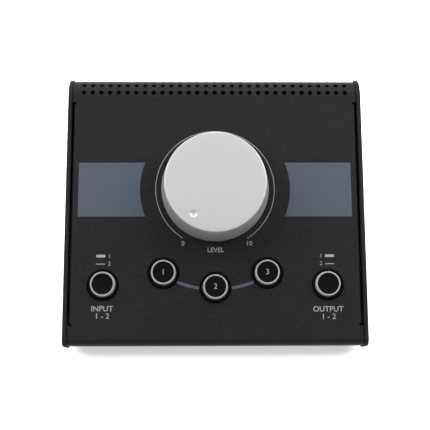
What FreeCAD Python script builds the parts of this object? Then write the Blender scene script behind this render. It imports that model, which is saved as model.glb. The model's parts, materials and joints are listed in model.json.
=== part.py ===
import FreeCAD, Part

# Desktop studio monitor controller, in millimetres.
# A sheet-steel cover slopes towards the user. It carries a large volume knob and five push buttons, and its
# back edge is rolled and vented. It closes over a base pan and an upright rear panel with the row of sockets.
# A rounded cheek stands on each side. X is the width, the front faces -Y, Z is up, and the origin is at the
# middle of the footprint, on the table. Pieces of the panel are placed in the panel's own axes: across, along
# (up the slope from the panel's front edge) and out (along its normal, from its outer face).

import math
import os

import Sketcher

SIZES = [
    # The whole object
    ("slope", 20, "tilt of the control panel in degrees"),
    ("overall_width", 140, "over both cheeks"),
    ("front_height", 16.5, "panel's front edge above the table"),
    ("foot_height", 3.5, "underside of the base pan above the table"),
    # Top cover
    ("cover_gauge", 1.2, "sheet thickness of the cover"),
    ("panel_run", 115.6, "flat length of the panel between its bends"),
    ("front_bend", 2.7, "outside radius of the front bend"),
    ("rear_bend", 9.6, "outside radius of the rolled back edge"),
    ("rear_flange", 8, "height of the flange below the roll"),
    ("lip_clearance", 0.3, "lower edge of lip and walls above the pan's underside"),
    ("side_bend", 1.4, "outside radius of the bends to the side walls"),
    ("slot_front", 5.9, "panel's front edge to the start of the side slot"),
    ("slot_rear", 3.3, "end of the side slot to the panel's rear edge"),
    ("relief_cut", 1.2, "length of the relief at each end of a side bend"),
    ("hole_deburr", 0.2, "chamfer on the panel's button holes"),
    ("seam", 0.15, "gap between the cover's ends and the cheeks"),
    ("vent_margin", 5, "least distance of a vent from the cheek"),
    ("vent_rows", 4, "rows of vents round the roll"),
    ("vent_pitch", 4.17, "distance between vents"),
    ("vent_diameter", 2.25, "vent hole"),
    ("vent_first", 9.1, "angle of the first row round the roll"),
    ("vent_step", 24.9, "angle between rows"),
    # Cheeks
    ("cheek_thickness", 1.95, "side cheek"),
    ("cheek_proud", 0.7, "cheek's edge outside the cover"),
    ("cheek_rounding", 0.95, "rounding of the cheek's outer edge"),
    ("cheek_corner", 1.6, "radius of the cheek's lower corners"),
    ("side_slot", 0.9, "gap between the cheek and the cover's side wall"),
    ("boss_diameter", 8, "cheek's spacer boss at each screw"),
    # Base pan
    ("pan_gauge", 1.2, "sheet thickness of the pan"),
    ("pan_bend", 1.8, "outside radius of the pan's bends"),
    ("pan_clearance", 0.15, "pan to cover"),
    ("pan_front", 7, "height of the pan's front flange along the lip"),
    ("pan_side", 9.5, "height of the pan's side flanges"),
    ("pan_rear", 5.6, "height of the pan's rear flange"),
    ("pan_relief", 3, "side flanges' distance from the pan's bends"),
    ("rear_gauge", 1.2, "sheet thickness of the rear panel"),
    # Fasteners
    ("thread", 3, "screw thread"),
    ("thread_gap", 0.05, "modelled gap at a thread"),
    ("clear_gap", 0.15, "radial gap of a screw in a clearance hole"),
    ("sink_gap", 0.1, "radial gap round a countersunk head"),
    ("sink_head", 5.6, "countersunk head diameter"),
    ("sink_depth", 1.6, "countersunk head height"),
    ("round_head", 5.4, "round head diameter"),
    ("round_depth", 1.8, "round head height"),
    ("screw_length", 4.8, "thread below the head"),
    ("driver_flats", 2, "hexagon recess across flats"),
    ("driver_depth", 1, "hexagon recess depth"),
    ("low_screw", 5.4, "lower cheek screws above the pan's underside"),
    ("high_screw", 9, "upper cheek screw below the panel's face"),
    ("screw_inset", 17, "cheek screws from the ends of the side slot"),
    ("rear_screw_inset", 20, "outer rear screws from the cheek's outer face"),
    ("rear_screw_lift", 3.4, "lower rear screws above the pan's underside"),
    # Feet
    ("foot_diameter", 13, "rubber foot"),
    ("foot_web", 1.4, "rubber under the foot's screw head"),
    ("foot_well_gap", 0.2, "radial gap round the foot's screw head"),
    ("foot_inset_x", 14, "foot centre from the cheek's outer face"),
    ("foot_inset_y", 15, "foot centre from the pan's front and rear bends"),
    # Knob
    ("knob_along", 69.9, "knob centre from the panel's front edge"),
    ("knob_base", 50.4, "knob diameter at its foot"),
    ("knob_top", 46.4, "knob diameter at its top edge"),
    ("knob_height", 16.1, "knob's top above the panel"),
    ("knob_gap", 1, "knob's foot above the panel"),
    ("knob_bevel", 0.5, "bevel round the knob's top"),
    ("knob_wall", 2.6, "skirt thickness at the knob's foot"),
    ("knob_roof", 3.2, "thickness of the knob's top"),
    ("knob_boss", 15, "diameter of the knob's inner boss"),
    ("insert_diameter", 11, "plastic insert in the boss"),
    ("insert_gap", 0.8, "insert above the end of the bushing"),
    ("dimple_offset", 17.9, "dimple from the knob's axis"),
    ("dimple_angle", 33.7, "dimple from straight down, at the lower stop"),
    ("dimple_diameter", 3.3, "dimple"),
    ("dimple_depth", 0.7, "dimple"),
    # Potentiometer
    ("shaft_diameter", 6, "potentiometer's shaft"),
    ("shaft_flat", 4.5, "shaft across its flat"),
    ("shaft_grip", 6.8, "length of the shaft in the insert"),
    ("running_gap", 0.05, "radial gap of the shaft in its bushing"),
    ("press_gap", 0.03, "gap of pieces pushed onto each other"),
    ("bush_diameter", 9, "threaded bushing"),
    ("bush_plate", 1, "bushing's base plate"),
    ("bush_spare", 0.9, "bushing above its nut"),
    ("bush_hole_gap", 0.1, "radial gap of the bushing in the panel"),
    ("washer_diameter", 15, "washer under the nut"),
    ("washer_gauge", 0.5, "washer"),
    ("nut_flats", 12, "nut across flats"),
    ("nut_gauge", 2.2, "nut"),
    ("pot_width", 17, "potentiometer's housing across"),
    ("pot_length", 18, "potentiometer's housing along the slope"),
    ("pot_wall", 1.3, "potentiometer's housing wall"),
    ("pot_foot", 1.2, "housing above the board"),
    ("rotor_diameter", 13, "wiper discs"),
    ("rotor_gauge", 1.5, "wiper discs"),
    ("rotor_gap", 0.3, "wiper disc to housing"),
    # Buttons and their switches
    ("select_inset", 18.2, "select buttons from the cheek's outer face"),
    ("select_along", 24.7, "select buttons from the panel's front edge"),
    ("function_across", 23.96, "outer function buttons from the middle"),
    ("function_along", 30.1, "outer function buttons from the panel's front edge"),
    ("centre_along", 23.4, "middle function button from the panel's front edge"),
    ("button_hole", 14.6, "hole in the panel"),
    ("button_height", 2.2, "cap's top above the panel"),
    ("ring_diameter", 11.1, "outside of the light ring"),
    ("ring_wall", 0.86, "light ring"),
    ("ring_gap", 0.02, "ring on its cap"),
    ("ring_rounding", 0.22, "ring's top edge"),
    ("collar_diameter", 13.7, "cap's collar in the panel's hole"),
    ("collar_sink", 0.6, "collar below the panel's face"),
    ("collar_gauge", 1.2, "collar"),
    ("button_travel", 2, "stroke"),
    ("switch_gap", 0.4, "pressed collar to the switch"),
    ("switch_width", 8.5, "switch body"),
    ("switch_lid", 1, "switch body's top wall"),
    ("switch_floor", 0.8, "switch body's floor"),
    ("stem_width", 3.6, "plunger's stem, square"),
    ("stem_grip", 3, "stem inside the cap"),
    ("shoulder_width", 5.6, "plunger's shoulder, square"),
    ("shoulder_height", 2, "plunger's shoulder"),
    ("slide_gap", 0.1, "plunger in the switch body, each side"),
    ("spring_diameter", 4.2, "return spring"),
    ("spring_wire", 0.5, "return spring's wall"),
    # Control board
    ("board_gauge", 1.6, "both boards"),
    ("board_drop", 13, "board's face below the panel's face"),
    ("board_front", 14, "board's front edge from the panel's front edge"),
    ("board_rear", 87, "board's rear edge from the panel's front edge"),
    ("board_inset", 5, "board's ends from the cover's walls"),
    ("pillar_diameter", 5.5, "pillars of both boards"),
    ("pillar_inset", 22.7, "control board's pillars from the board's ends"),
    ("pillar_front", 18.5, "front pillars from the panel's front edge"),
    ("pillar_rear", 79.5, "rear pillars from the panel's front edge"),
    ("resistor_diameter", 2.4, "resistors of the dimming pad and the mono sum"),
    ("resistor_length", 6.4, "resistor's body"),
    ("resistor_span", 10, "between a resistor's legs"),
    ("resistor_wire", 0.6, "resistor's leads"),
    ("resistor_bend", 0.7, "bend radius of a resistor's leads"),
    ("resistor_rows", 4, "resistors on each side of the board"),
    ("resistor_pitch", 4, "resistors along the board"),
    ("resistor_across", 26, "rows of resistors from the middle"),
    ("resistor_start", 58, "first resistor from the panel's front edge"),
    ("pin_width", 0.7, "terminal pins, square"),
    ("pin_hole_gap", 0.2, "pin in the board, at its corner"),
    ("pin_spare", 1.1, "pins below the board"),
    ("pin_columns", 3, "columns of terminals of a switch or the potentiometer"),
    ("pin_rows", 2, "rows of terminals of a switch or the potentiometer"),
    ("switch_pin_pitch", 2.5, "switch terminals"),
    ("pot_pin_pitch", 5, "potentiometer's terminals"),
    # Jack board and sockets
    ("jack_board_lift", 5, "jack board above the pan's floor"),
    ("jack_board_inset", 1.5, "jack board from the pan's walls"),
    ("jack_board_lead", 3.5, "jack board's front edge before its header"),
    ("jack_pillar_inset", 12.85, "jack board's pillars from the board's ends"),
    ("spigot_diameter", 4.2, "pillar's spigot in the pan"),
    ("jack_margin", 1.5, "end of the row of sockets from the pan's wall"),
    ("jack_width", 11.8, "socket body"),
    ("jack_depth", 25.5, "socket body"),
    ("jack_axis", 6.8, "socket's axis above its board"),
    ("jack_bore", 6.4, "socket's bore, for a 6.35 plug"),
    ("jack_bore_depth", 29.8, "socket's bore"),
    ("nose_diameter", 9.5, "socket's threaded nose"),
    ("nose_length", 4.4, "nose outside the rear panel"),
    ("nose_gap", 0.2, "radial gap of a nose in the rear panel"),
    ("jack_nut_flats", 12, "socket's nut across flats"),
    ("jack_nut_gauge", 2.4, "socket's nut"),
    ("jack_pin_first", 5, "first socket terminal behind the rear panel"),
    ("jack_pin_pitch", 7, "socket terminals"),
    ("jack_pins", 3, "terminals of a socket"),
    ("mini_width", 10.5, "small socket's body"),
    ("mini_gap", 0.35, "small socket's body from the sockets' places beside it"),
    ("mini_depth", 14, "small socket's body"),
    ("mini_nose", 6, "small socket's nose"),
    ("mini_bore", 3.6, "small socket's bore, for a 3.5 plug"),
    ("mini_bore_depth", 15, "small socket's bore"),
    ("mini_nut", 8, "small socket's round nut"),
    # Ribbon cable
    ("header_width", 22, "ribbon headers"),
    ("header_depth", 5.5, "ribbon headers"),
    ("header_height", 6, "ribbon headers"),
    ("header_margin", 1.5, "header from the control board's rear edge"),
    ("ribbon_width", 17.8, "ribbon cable"),
    ("ribbon_gauge", 0.9, "ribbon cable"),
    ("ribbon_lead", 1.5, "straight ribbon below the upper header"),
    ("ribbon_bend", 12, "ribbon's bend radius at its middle"),
]


class Dim:
    """A size: what it is now, and the sheet expression that keeps it current."""

    def __init__(self, value, text):
        self.value = value
        self.text = text

    @staticmethod
    def of(other):
        if isinstance(other, Dim):
            return other
        return Dim(float(other), f"({float(other)})")

    def joined(self, other, sign, value):
        return Dim(value, f"({self.text} {sign} {other.text})")

    def __add__(self, other):
        other = Dim.of(other)
        return self.joined(other, "+", self.value + other.value)

    def __sub__(self, other):
        other = Dim.of(other)
        return self.joined(other, "-", self.value - other.value)

    def __mul__(self, other):
        other = Dim.of(other)
        return self.joined(other, "*", self.value * other.value)

    def __truediv__(self, other):
        other = Dim.of(other)
        return self.joined(other, "/", self.value / other.value)

    def __radd__(self, other):
        return Dim.of(other) + self

    def __rsub__(self, other):
        return Dim.of(other) - self

    def __rmul__(self, other):
        return Dim.of(other) * self

    def __rtruediv__(self, other):
        return Dim.of(other) / self

    def __neg__(self):
        return Dim.of(0) - self


def sine(angle):
    return Dim(math.sin(math.radians(angle.value)), f"sin({angle.text})")


def cosine(angle):
    return Dim(math.cos(math.radians(angle.value)), f"cos({angle.text})")


def tangent(angle):
    return Dim(math.tan(math.radians(angle.value)), f"tan({angle.text})")


def whole(dim):
    """The whole number just below a value."""
    return Dim(math.floor(dim.value), f"floor({dim.text})")


class Sheet:
    """The spreadsheet of driving sizes, read as Dims by name."""

    def __init__(self, document, rows):
        self.cells = document.addObject("Spreadsheet::Sheet", "Sizes")
        for number, (alias, value, note) in enumerate(rows, start=1):
            self.cells.set(f"A{number}", alias.replace("_", " "))
            self.cells.set(f"B{number}", str(value))
            self.cells.set(f"C{number}", note)
            self.cells.setAlias(f"B{number}", alias)
        document.recompute()

    def __getattr__(self, alias):
        return Dim(float(getattr(self.cells, alias)), f"Sizes.{alias}")


doc = FreeCAD.newDocument("monitor_controller")
size = Sheet(doc, SIZES)
NONE = Dim.of(0)
OVERCUT = Dim.of(1)  # how far a cutting outline reaches past the edge that it opens
PARTS = []

# Places that several pieces share, in the object's own axes

SIN = sine(size.slope)
COS = cosine(size.slope)
PANEL_Z = size.front_height


def rise(along, out):
    """Height above the table of a point of the panel."""
    return PANEL_Z + along * SIN + out * COS


def reach(along, out):
    """How far behind the panel's front edge a point of the panel lies."""
    return along * COS - out * SIN


ROLL_REACH = reach(size.panel_run, -size.rear_bend)
ROLL_Z = rise(size.panel_run, -size.rear_bend)
FRONT_REACH = reach(NONE, -size.front_bend) - size.front_bend - size.cheek_proud
REAR_PANEL_REACH = ROLL_REACH + size.rear_bend - size.cover_gauge - size.pan_clearance
REAR_REACH = REAR_PANEL_REACH + size.nose_length
PANEL_Y = -(FRONT_REACH + REAR_REACH) / 2
ROLL_Y = PANEL_Y + ROLL_REACH
COVER_REAR_Y = ROLL_Y + size.rear_bend
REAR_PANEL_Y = PANEL_Y + REAR_PANEL_REACH
REAR_PANEL_INNER_Y = REAR_PANEL_Y - size.rear_gauge
PAN_REAR_Y = REAR_PANEL_INNER_Y - size.pan_clearance

CHEEK_OUTER = size.overall_width / 2
CHEEK_INNER = CHEEK_OUTER - size.cheek_thickness
WALL_OUTER = CHEEK_INNER - size.side_slot
WALL_INNER = WALL_OUTER - size.cover_gauge
PAN_OUTER = WALL_INNER - size.pan_clearance
PAN_INNER = PAN_OUTER - size.pan_gauge
PAN_Z = size.foot_height
FLOOR_Z = PAN_Z + size.pan_gauge
LIP_Z = PAN_Z + size.lip_clearance

SLOT_START = size.slot_front
SLOT_END = size.panel_run - size.slot_rear
PAN_FRONT_ALONG = size.cover_gauge + size.pan_clearance - size.front_bend

THREAD_HOLE = size.thread / 2 + size.thread_gap
CLEAR_HOLE = size.thread / 2 + size.clear_gap
BOARD_UNDER = -(size.board_drop + size.board_gauge)
COLLAR_UNDER = -(size.collar_sink + size.collar_gauge)
SWITCH_TOP = COLLAR_UNDER - size.button_travel - size.switch_gap
SHOULDER_TOP = SWITCH_TOP - size.switch_lid - size.press_gap
SHOULDER_UNDER = SHOULDER_TOP - size.shoulder_height
CAVITY_FLOOR = size.switch_floor - size.board_drop
STEM_TOP = COLLAR_UNDER + size.stem_grip

NUT_TOP = size.washer_gauge + size.nut_gauge
BUSH_TOP = NUT_TOP + size.bush_spare
INSERT_UNDER = BUSH_TOP + size.insert_gap
SHAFT_TOP = INSERT_UNDER + size.shaft_grip
BUSH_UNDER = -(size.cover_gauge + size.bush_plate)

JACK_BOARD_Z = FLOOR_Z + size.jack_board_lift
JACK_BOARD_TOP = JACK_BOARD_Z + size.board_gauge
JACK_Z = JACK_BOARD_TOP + size.jack_axis
NOSE_END_Y = REAR_PANEL_Y + size.nose_length

HEADER_ALONG = size.board_rear - size.header_margin - size.header_depth / 2
HEADER_UNDER = BOARD_UNDER - size.header_height
RIBBON_Y = PANEL_Y + reach(HEADER_ALONG, HEADER_UNDER)
RIBBON_Z = rise(HEADER_ALONG, HEADER_UNDER)
LOWER_HEADER_Y = RIBBON_Y + size.ribbon_lead * SIN + size.ribbon_bend * (1 - COS)
LOWER_HEADER_TOP = JACK_BOARD_TOP + size.header_height

SELECT_ACROSS = CHEEK_OUTER - size.select_inset
REAR_SCREW_ACROSS = CHEEK_OUTER - size.rear_screw_inset
REAR_SCREWS = (-REAR_SCREW_ACROSS, NONE, REAR_SCREW_ACROSS)
HIGH_SCREW_Z = ROLL_Z - size.rear_flange / 2
LOW_SCREW_Z = PAN_Z + size.rear_screw_lift
BOARD_END = WALL_INNER - size.board_inset
PILLAR_ACROSS = BOARD_END - size.pillar_inset
JACK_BOARD_END = PAN_INNER - size.jack_board_inset
JACK_PILLAR_ACROSS = JACK_BOARD_END - size.jack_pillar_inset

BUTTONS = {
    "input_select": (-SELECT_ACROSS, size.select_along),
    "mono": (-size.function_across, size.function_along),
    "mute": (NONE, size.centre_along),
    "dim": (size.function_across, size.function_along),
    "output_select": (SELECT_ACROSS, size.select_along),
}

# Four outputs and four inputs, spread evenly between the small socket and the pan's walls
JACK_NAMES = ("b_right", "b_left", "a_right", "a_left")
MINI_SIDE = size.mini_width / 2 + size.mini_gap
JACK_PITCH = (PAN_INNER - size.jack_margin - MINI_SIDE) / len(JACK_NAMES)
JACKS = {}
for number, name in enumerate(reversed(JACK_NAMES)):
    JACKS["output_" + name] = -(MINI_SIDE + JACK_PITCH * (number + 0.5))
for number, name in enumerate(JACK_NAMES):
    JACKS["input_" + name] = MINI_SIDE + JACK_PITCH * (number + 0.5)


def to_panel(y, z):
    """A point of the object's side view in the panel's own axes: along and out."""
    along = (y - PANEL_Y) * COS + (z - PANEL_Z) * SIN
    out = (z - PANEL_Z) * COS - (y - PANEL_Y) * SIN
    return along, out


# Tools that draw, bind and place


def bind(item, **properties):
    """Set properties and tie them to the sheet."""
    for name, dim in properties.items():
        dim = Dim.of(dim)
        setattr(item, name, dim.value)
        item.setExpression(name, dim.text)


def place(item, x, y, z, tilt=None, axis=(1, 0, 0), field="Placement"):
    """Put a piece at a point of the object, turned about an axis."""
    x, y, z = Dim.of(x), Dim.of(y), Dim.of(z)
    tilt = Dim.of(0 if tilt is None else tilt)
    turn = FreeCAD.Rotation(FreeCAD.Vector(*axis), tilt.value)
    setattr(item, field, FreeCAD.Placement(FreeCAD.Vector(x.value, y.value, z.value), turn))
    for letter, dim in (("x", x), ("y", y), ("z", z)):
        item.setExpression(f"{field}.Base.{letter}", dim.text)
    if tilt.value:
        item.setExpression(f"{field}.Rotation.Angle", tilt.text)
    return item


def place_on_panel(item, across=NONE, along=NONE, out=NONE):
    """Put a piece at a point of the panel, in the panel's own axes."""
    return place(item, across, PANEL_Y + reach(along, out), rise(along, out), size.slope)


def keep(item, label):
    """Name a finished sub-part."""
    item.Label = label
    PARTS.append(item)
    return item


def new_body(name):
    return doc.addObject("PartDesign::Body", name + "_body")


def sketch_on(body, role, x=NONE, y=NONE, z=NONE, tilt=None):
    """A sketch on one of the body's own planes, moved and tilted in that plane's axes."""
    sketch = body.newObject("Sketcher::SketchObject", body.Name + "_sketch")
    plane = next(item for item in body.Origin.OriginFeatures if item.Role == role)
    sketch.AttachmentSupport = [(plane, "")]
    sketch.MapMode = "FlatFace"
    place(sketch, x, y, z, tilt, field="AttachmentOffset")
    return sketch


def pin_point(sketch, geometry, point, x, y):
    """Dimension a sketch point from the sketch's origin."""
    for kind, dim in (("DistanceX", x), ("DistanceY", y)):
        number = sketch.addConstraint(Sketcher.Constraint(kind, -1, 1, geometry, point, dim.value))
        sketch.setExpression(f"Constraints[{number}]", dim.text)


def pin_radius(sketch, geometry, radius):
    number = sketch.addConstraint(Sketcher.Constraint("Radius", geometry, radius.value))
    sketch.setExpression(f"Constraints[{number}]", radius.text)


def flat(x, y):
    return FreeCAD.Vector(x.value, y.value, 0)


def arc_edge(start, end, centre, radius):
    """The shorter arc between two points, and whether it runs from the end to the start."""
    first = math.atan2(start.y - centre.y, start.x - centre.x)
    last = math.atan2(end.y - centre.y, end.x - centre.x)
    sweep = (last - first) % (2 * math.pi)
    backwards = sweep > math.pi
    if backwards:
        first, last = last, first
    circle = Part.Circle(centre, FreeCAD.Vector(0, 0, 1), radius)
    return Part.ArcOfCircle(circle, first, last), backwards


def outline(sketch, corners):
    """Draw a closed outline. A corner is (x, y), or (x, y, centre, radius) where an arc leads to it."""
    corners = [(Dim.of(corner[0]), Dim.of(corner[1]), *corner[2:]) for corner in corners]
    ends = []
    for index, corner in enumerate(corners):
        start = flat(*corners[index - 1][:2])
        end = flat(*corner[:2])
        if len(corner) == 2:
            number = sketch.addGeometry(Part.LineSegment(start, end))
            ends.append((number, 1, 2))
            continue
        edge, backwards = arc_edge(start, end, flat(*corner[2]), corner[3].value)
        number = sketch.addGeometry(edge)
        ends.append((number, 2, 1) if backwards else (number, 1, 2))
        pin_radius(sketch, number, corner[3])
    for index, corner in enumerate(corners):
        number, _, last = ends[index]
        following, first, _ = ends[(index + 1) % len(ends)]
        sketch.addConstraint(Sketcher.Constraint("Coincident", number, last, following, first))
        pin_point(sketch, number, last, corner[0], corner[1])
    return sketch


def circle(sketch, x, y, radius):
    x, y, radius = Dim.of(x), Dim.of(y), Dim.of(radius)
    number = sketch.addGeometry(Part.Circle(flat(x, y), FreeCAD.Vector(0, 0, 1), radius.value))
    pin_point(sketch, number, 3, x, y)
    pin_radius(sketch, number, radius)
    return sketch


def pad(body, sketch, length, both_ways=False, backwards=False):
    feature = body.newObject("PartDesign::Pad", body.Name + "_pad")
    feature.Profile = sketch
    bind(feature, Length=length)
    feature.SideType = "Symmetric" if both_ways else "One side"
    feature.Reversed = backwards
    return feature


def pocket(body, sketch, length=None, backwards=False, both_ways=False):
    """Cut a sketch out of a body, to a depth or right through."""
    doc.recompute()
    before = body.Shape.Volume
    feature = body.newObject("PartDesign::Pocket", body.Name + "_pocket")
    feature.Profile = sketch
    if length is None:
        feature.Type = "ThroughAll"
    else:
        bind(feature, Length=length)
    feature.SideType = "Symmetric" if both_ways else "One side"
    feature.Reversed = backwards
    doc.recompute()
    if not body.Shape.Volume < before:
        raise RuntimeError(feature.Name + " cuts nothing")
    return feature


def revolve(body, sketch):
    feature = body.newObject("PartDesign::Revolution", body.Name + "_turn")
    feature.Profile = sketch
    feature.ReferenceAxis = (sketch, ["V_Axis"])
    feature.Angle = 360
    return feature


def edge_names(feature, wanted):
    """Names of the feature's edges for which wanted is true."""
    doc.recompute()
    return [f"Edge{number}" for number, edge in enumerate(feature.Shape.Edges, start=1) if wanted(edge)]


def soften(body, kind, edges, amount):
    """A fillet or a chamfer on named edges of the body's last feature."""
    feature = body.newObject(kind, body.Name + "_edge")
    feature.Base = (edges[0], edges[1])
    bind(feature, **{"Radius" if kind.endswith("Fillet") else "Size": amount})
    return feature


def box(name, x, y, z, length, width, height):
    item = doc.addObject("Part::Box", name)
    bind(item, Length=length, Width=width, Height=height)
    return place(item, x, y, z)


def centred_box(name, x, y, low, high, length, width):
    x, y = Dim.of(x), Dim.of(y)
    return box(name, x - length / 2, y - width / 2, low, length, width, high - low)


def cylinder(name, x, y, low, high, radius):
    item = doc.addObject("Part::Cylinder", name)
    bind(item, Radius=radius, Height=high - low)
    return place(item, x, y, low)


def lying_cylinder(name, radius, length, height):
    """A cylinder along X, with its middle above the origin."""
    item = doc.addObject("Part::Cylinder", name)
    bind(item, Radius=radius, Height=length)
    return place(item, -length / 2, 0, height, 90, (0, 1, 0))


def prism(name, low, high, flats):
    """A hexagonal prism on Z, given across its flats, which face along X."""
    item = doc.addObject("Part::Prism", name)
    item.Polygon = 6
    bind(item, Circumradius=flats / math.sqrt(3), Height=high - low)
    return place(item, 0, 0, low, 30, (0, 0, 1))


def fused(name, items):
    item = doc.addObject("Part::MultiFuse", name)
    item.Shapes = items
    item.Refine = True
    return item


def cut(name, base, tools):
    item = doc.addObject("Part::Cut", name)
    item.Base = base
    item.Tool = tools[0] if len(tools) == 1 else fused(name + "_tools", tools)
    item.Refine = True
    return item


def linked(pattern, spots):
    """Copies of a pattern piece, linked at each (x, y, z, tilt, axis)."""
    links = []
    for x, y, z, tilt, axis in spots:
        link = doc.addObject("App::Link", pattern.Name + "_copy")
        link.LinkedObject = pattern
        links.append(place(link, x, y, z, tilt, axis))
    return links


def grouped(name, links):
    """One sub-part made of separate solids."""
    group = doc.addObject("Part::Compound", name + "_group")
    group.Links = links
    return keep(group, name)


def copies(name, pattern, spots):
    return grouped(name, linked(pattern, spots))


def pin_places(pitch):
    """Places of a grid of terminal pins about its middle."""
    columns, rows = int(size.pin_columns.value), int(size.pin_rows.value)
    return [
        (pitch * (column - (columns - 1) / 2), pitch * (row - (rows - 1) / 2))
        for column in range(columns)
        for row in range(rows)
    ]


# The enclosure


def screw_places():
    """Cheek screws in the side view: two low ones in the pan's flange, and one high in the cover's wall."""
    last = SLOT_END - size.screw_inset
    front_y = PANEL_Y + reach(SLOT_START + size.screw_inset, NONE)
    rear_y = PANEL_Y + reach(last, -size.high_screw)
    low_z = PAN_Z + size.low_screw
    return [(front_y, low_z), (rear_y, low_z), (rear_y, rise(last, -size.high_screw))]


def cover_wrap(body):
    """Front lip, panel, rolled back and rear flange: one bent sheet, drawn from the side."""
    inner_front = size.front_bend - size.cover_gauge
    inner_rear = size.rear_bend - size.cover_gauge
    lip_out = (LIP_Z - PANEL_Z + size.front_bend * SIN) / COS
    front_centre = (NONE, -size.front_bend)
    rear_centre = (size.panel_run, -size.rear_bend)
    roll_outer = to_panel(COVER_REAR_Y, ROLL_Z)
    roll_inner = to_panel(COVER_REAR_Y - size.cover_gauge, ROLL_Z)
    flange_outer = to_panel(COVER_REAR_Y, ROLL_Z - size.rear_flange)
    flange_inner = to_panel(COVER_REAR_Y - size.cover_gauge, ROLL_Z - size.rear_flange)
    crown = size.rear_bend * math.sqrt(0.5)
    inner_crown = inner_rear * math.sqrt(0.5)
    sketch = sketch_on(body, "YZ_Plane")
    outline(sketch, [
        (-size.front_bend, lip_out),
        (-size.front_bend, -size.front_bend),
        (NONE, NONE, front_centre, size.front_bend),
        (size.panel_run, NONE),
        (size.panel_run + crown, crown - size.rear_bend, rear_centre, size.rear_bend),
        (roll_outer[0], roll_outer[1], rear_centre, size.rear_bend),
        flange_outer,
        flange_inner,
        roll_inner,
        (size.panel_run + inner_crown, inner_crown - size.rear_bend, rear_centre, inner_rear),
        (size.panel_run, -size.cover_gauge, rear_centre, inner_rear),
        (NONE, -size.cover_gauge),
        (-inner_front, -size.front_bend, front_centre, inner_front),
        (-inner_front, lip_out),
    ])
    pad(body, sketch, (CHEEK_INNER - size.seam) * 2, both_ways=True)


def cover_walls(body):
    """Notches beside the flat panel, and the side walls bent down there."""
    bend_start = WALL_OUTER - size.side_bend
    bend_inner = size.side_bend - size.cover_gauge
    notches = sketch_on(body, "XY_Plane")
    bends = sketch_on(body, "XZ_Plane", z=-(SLOT_START + size.relief_cut))
    for side in (-1, 1):
        edge = (CHEEK_INNER + OVERCUT) * side
        outline(notches, [
            (bend_start * side, SLOT_START),
            (edge, SLOT_START),
            (edge, SLOT_END),
            (bend_start * side, SLOT_END),
        ])
        centre = (bend_start * side, -size.side_bend)
        outline(bends, [
            (bend_start * side, NONE),
            (WALL_OUTER * side, -size.side_bend, centre, size.side_bend),
            (WALL_INNER * side, -size.side_bend),
            (bend_start * side, -size.cover_gauge, centre, bend_inner),
        ])
    pocket(body, notches, size.cover_gauge)
    pad(body, bends, SLOT_END - SLOT_START - size.relief_cut * 2, backwards=True)
    top_front = (SLOT_START + size.relief_cut, -size.side_bend)
    top_rear = (SLOT_END - size.relief_cut, -size.side_bend)
    shoulder = size.side_bend * 2 + size.relief_cut
    lip_inner = size.cover_gauge + size.seam - size.front_bend
    rear_y = REAR_PANEL_INNER_Y - size.seam
    bottom_front = (lip_inner, (LIP_Z - PANEL_Z - lip_inner * SIN) / COS)
    for side in (-1, 1):
        wall = sketch_on(body, "YZ_Plane", z=WALL_INNER * side)
        outline(wall, [
            top_front,
            (top_front[0], -shoulder),
            (lip_inner, -shoulder),
            bottom_front,
            to_panel(rear_y, LIP_Z),
            to_panel(rear_y, ROLL_Z),
            (top_rear[0], -shoulder),
            top_rear,
        ])
        pad(body, wall, size.cover_gauge, backwards=side < 0)


def cover_openings(body):
    """Holes for the bushing, the buttons and the screws."""
    holes = sketch_on(body, "XY_Plane")
    circle(holes, 0, size.knob_along, size.bush_diameter / 2 + size.bush_hole_gap)
    for across, along in BUTTONS.values():
        circle(holes, across, along, size.button_hole / 2)
    feature = pocket(body, holes, size.cover_gauge)
    radius = size.button_hole.value / 2

    def rim(edge):
        on_face = abs(edge.BoundBox.ZMax) < 1e-6 and abs(edge.BoundBox.ZMin) < 1e-6
        return on_face and abs(edge.Length - 2 * math.pi * radius) < 1e-3

    soften(body, "PartDesign::Chamfer", (feature, edge_names(feature, rim)), size.hole_deburr)
    sides = sketch_on(body, "YZ_Plane")
    for index, (y, z) in enumerate(screw_places()):
        along, out = to_panel(y, z)
        circle(sides, along, out, CLEAR_HOLE if index < 2 else THREAD_HOLE)
    pocket(body, sides, size.overall_width, both_ways=True)
    rear = rear_screw_sketch(body)
    pocket(body, rear, size.cover_gauge * 2, both_ways=True)


def rear_screw_sketch(body):
    """Three holes through the cover's rear flange, square to it."""
    middle = to_panel(COVER_REAR_Y - size.cover_gauge / 2, HIGH_SCREW_Z)
    sketch = sketch_on(body, "XZ_Plane", y=middle[1], z=-middle[0], tilt=-size.slope)
    for across in REAR_SCREWS:
        circle(sketch, across, 0, CLEAR_HOLE)
    return sketch


def cover_vents(body):
    """Rows of vent holes round the rolled back edge, as many as fit between the cheeks."""
    columns = whole((CHEEK_INNER - size.vent_margin) * 2 / size.vent_pitch) + 1
    run = size.vent_pitch * (columns - 1)
    for row in range(int(size.vent_rows.value)):
        angle = size.vent_first + size.vent_step * row
        along = size.panel_run + size.rear_bend * sine(angle)
        out = size.rear_bend * (cosine(angle) - 1)
        hole = sketch_on(body, "XY_Plane", y=along, z=out, tilt=-angle)
        circle(hole, -run / 2, 0, size.vent_diameter / 2)
        first = pocket(body, hole, (size.cover_gauge + OVERCUT) * 2, both_ways=True)
        row_pattern = body.newObject("PartDesign::LinearPattern", body.Name + "_row")
        row_pattern.Originals = [first]
        row_pattern.Direction = (hole, ["H_Axis"])
        bind(row_pattern, Length=run)
        row_pattern.Occurrences = int(columns.value)
        row_pattern.setExpression("Occurrences", columns.text)
        body.Tip = row_pattern
        doc.recompute()


def top_cover():
    body = new_body("top_cover")
    cover_wrap(body)
    cover_walls(body)
    cover_openings(body)
    cover_vents(body)
    place_on_panel(body)
    keep(body, "top_cover")


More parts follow.
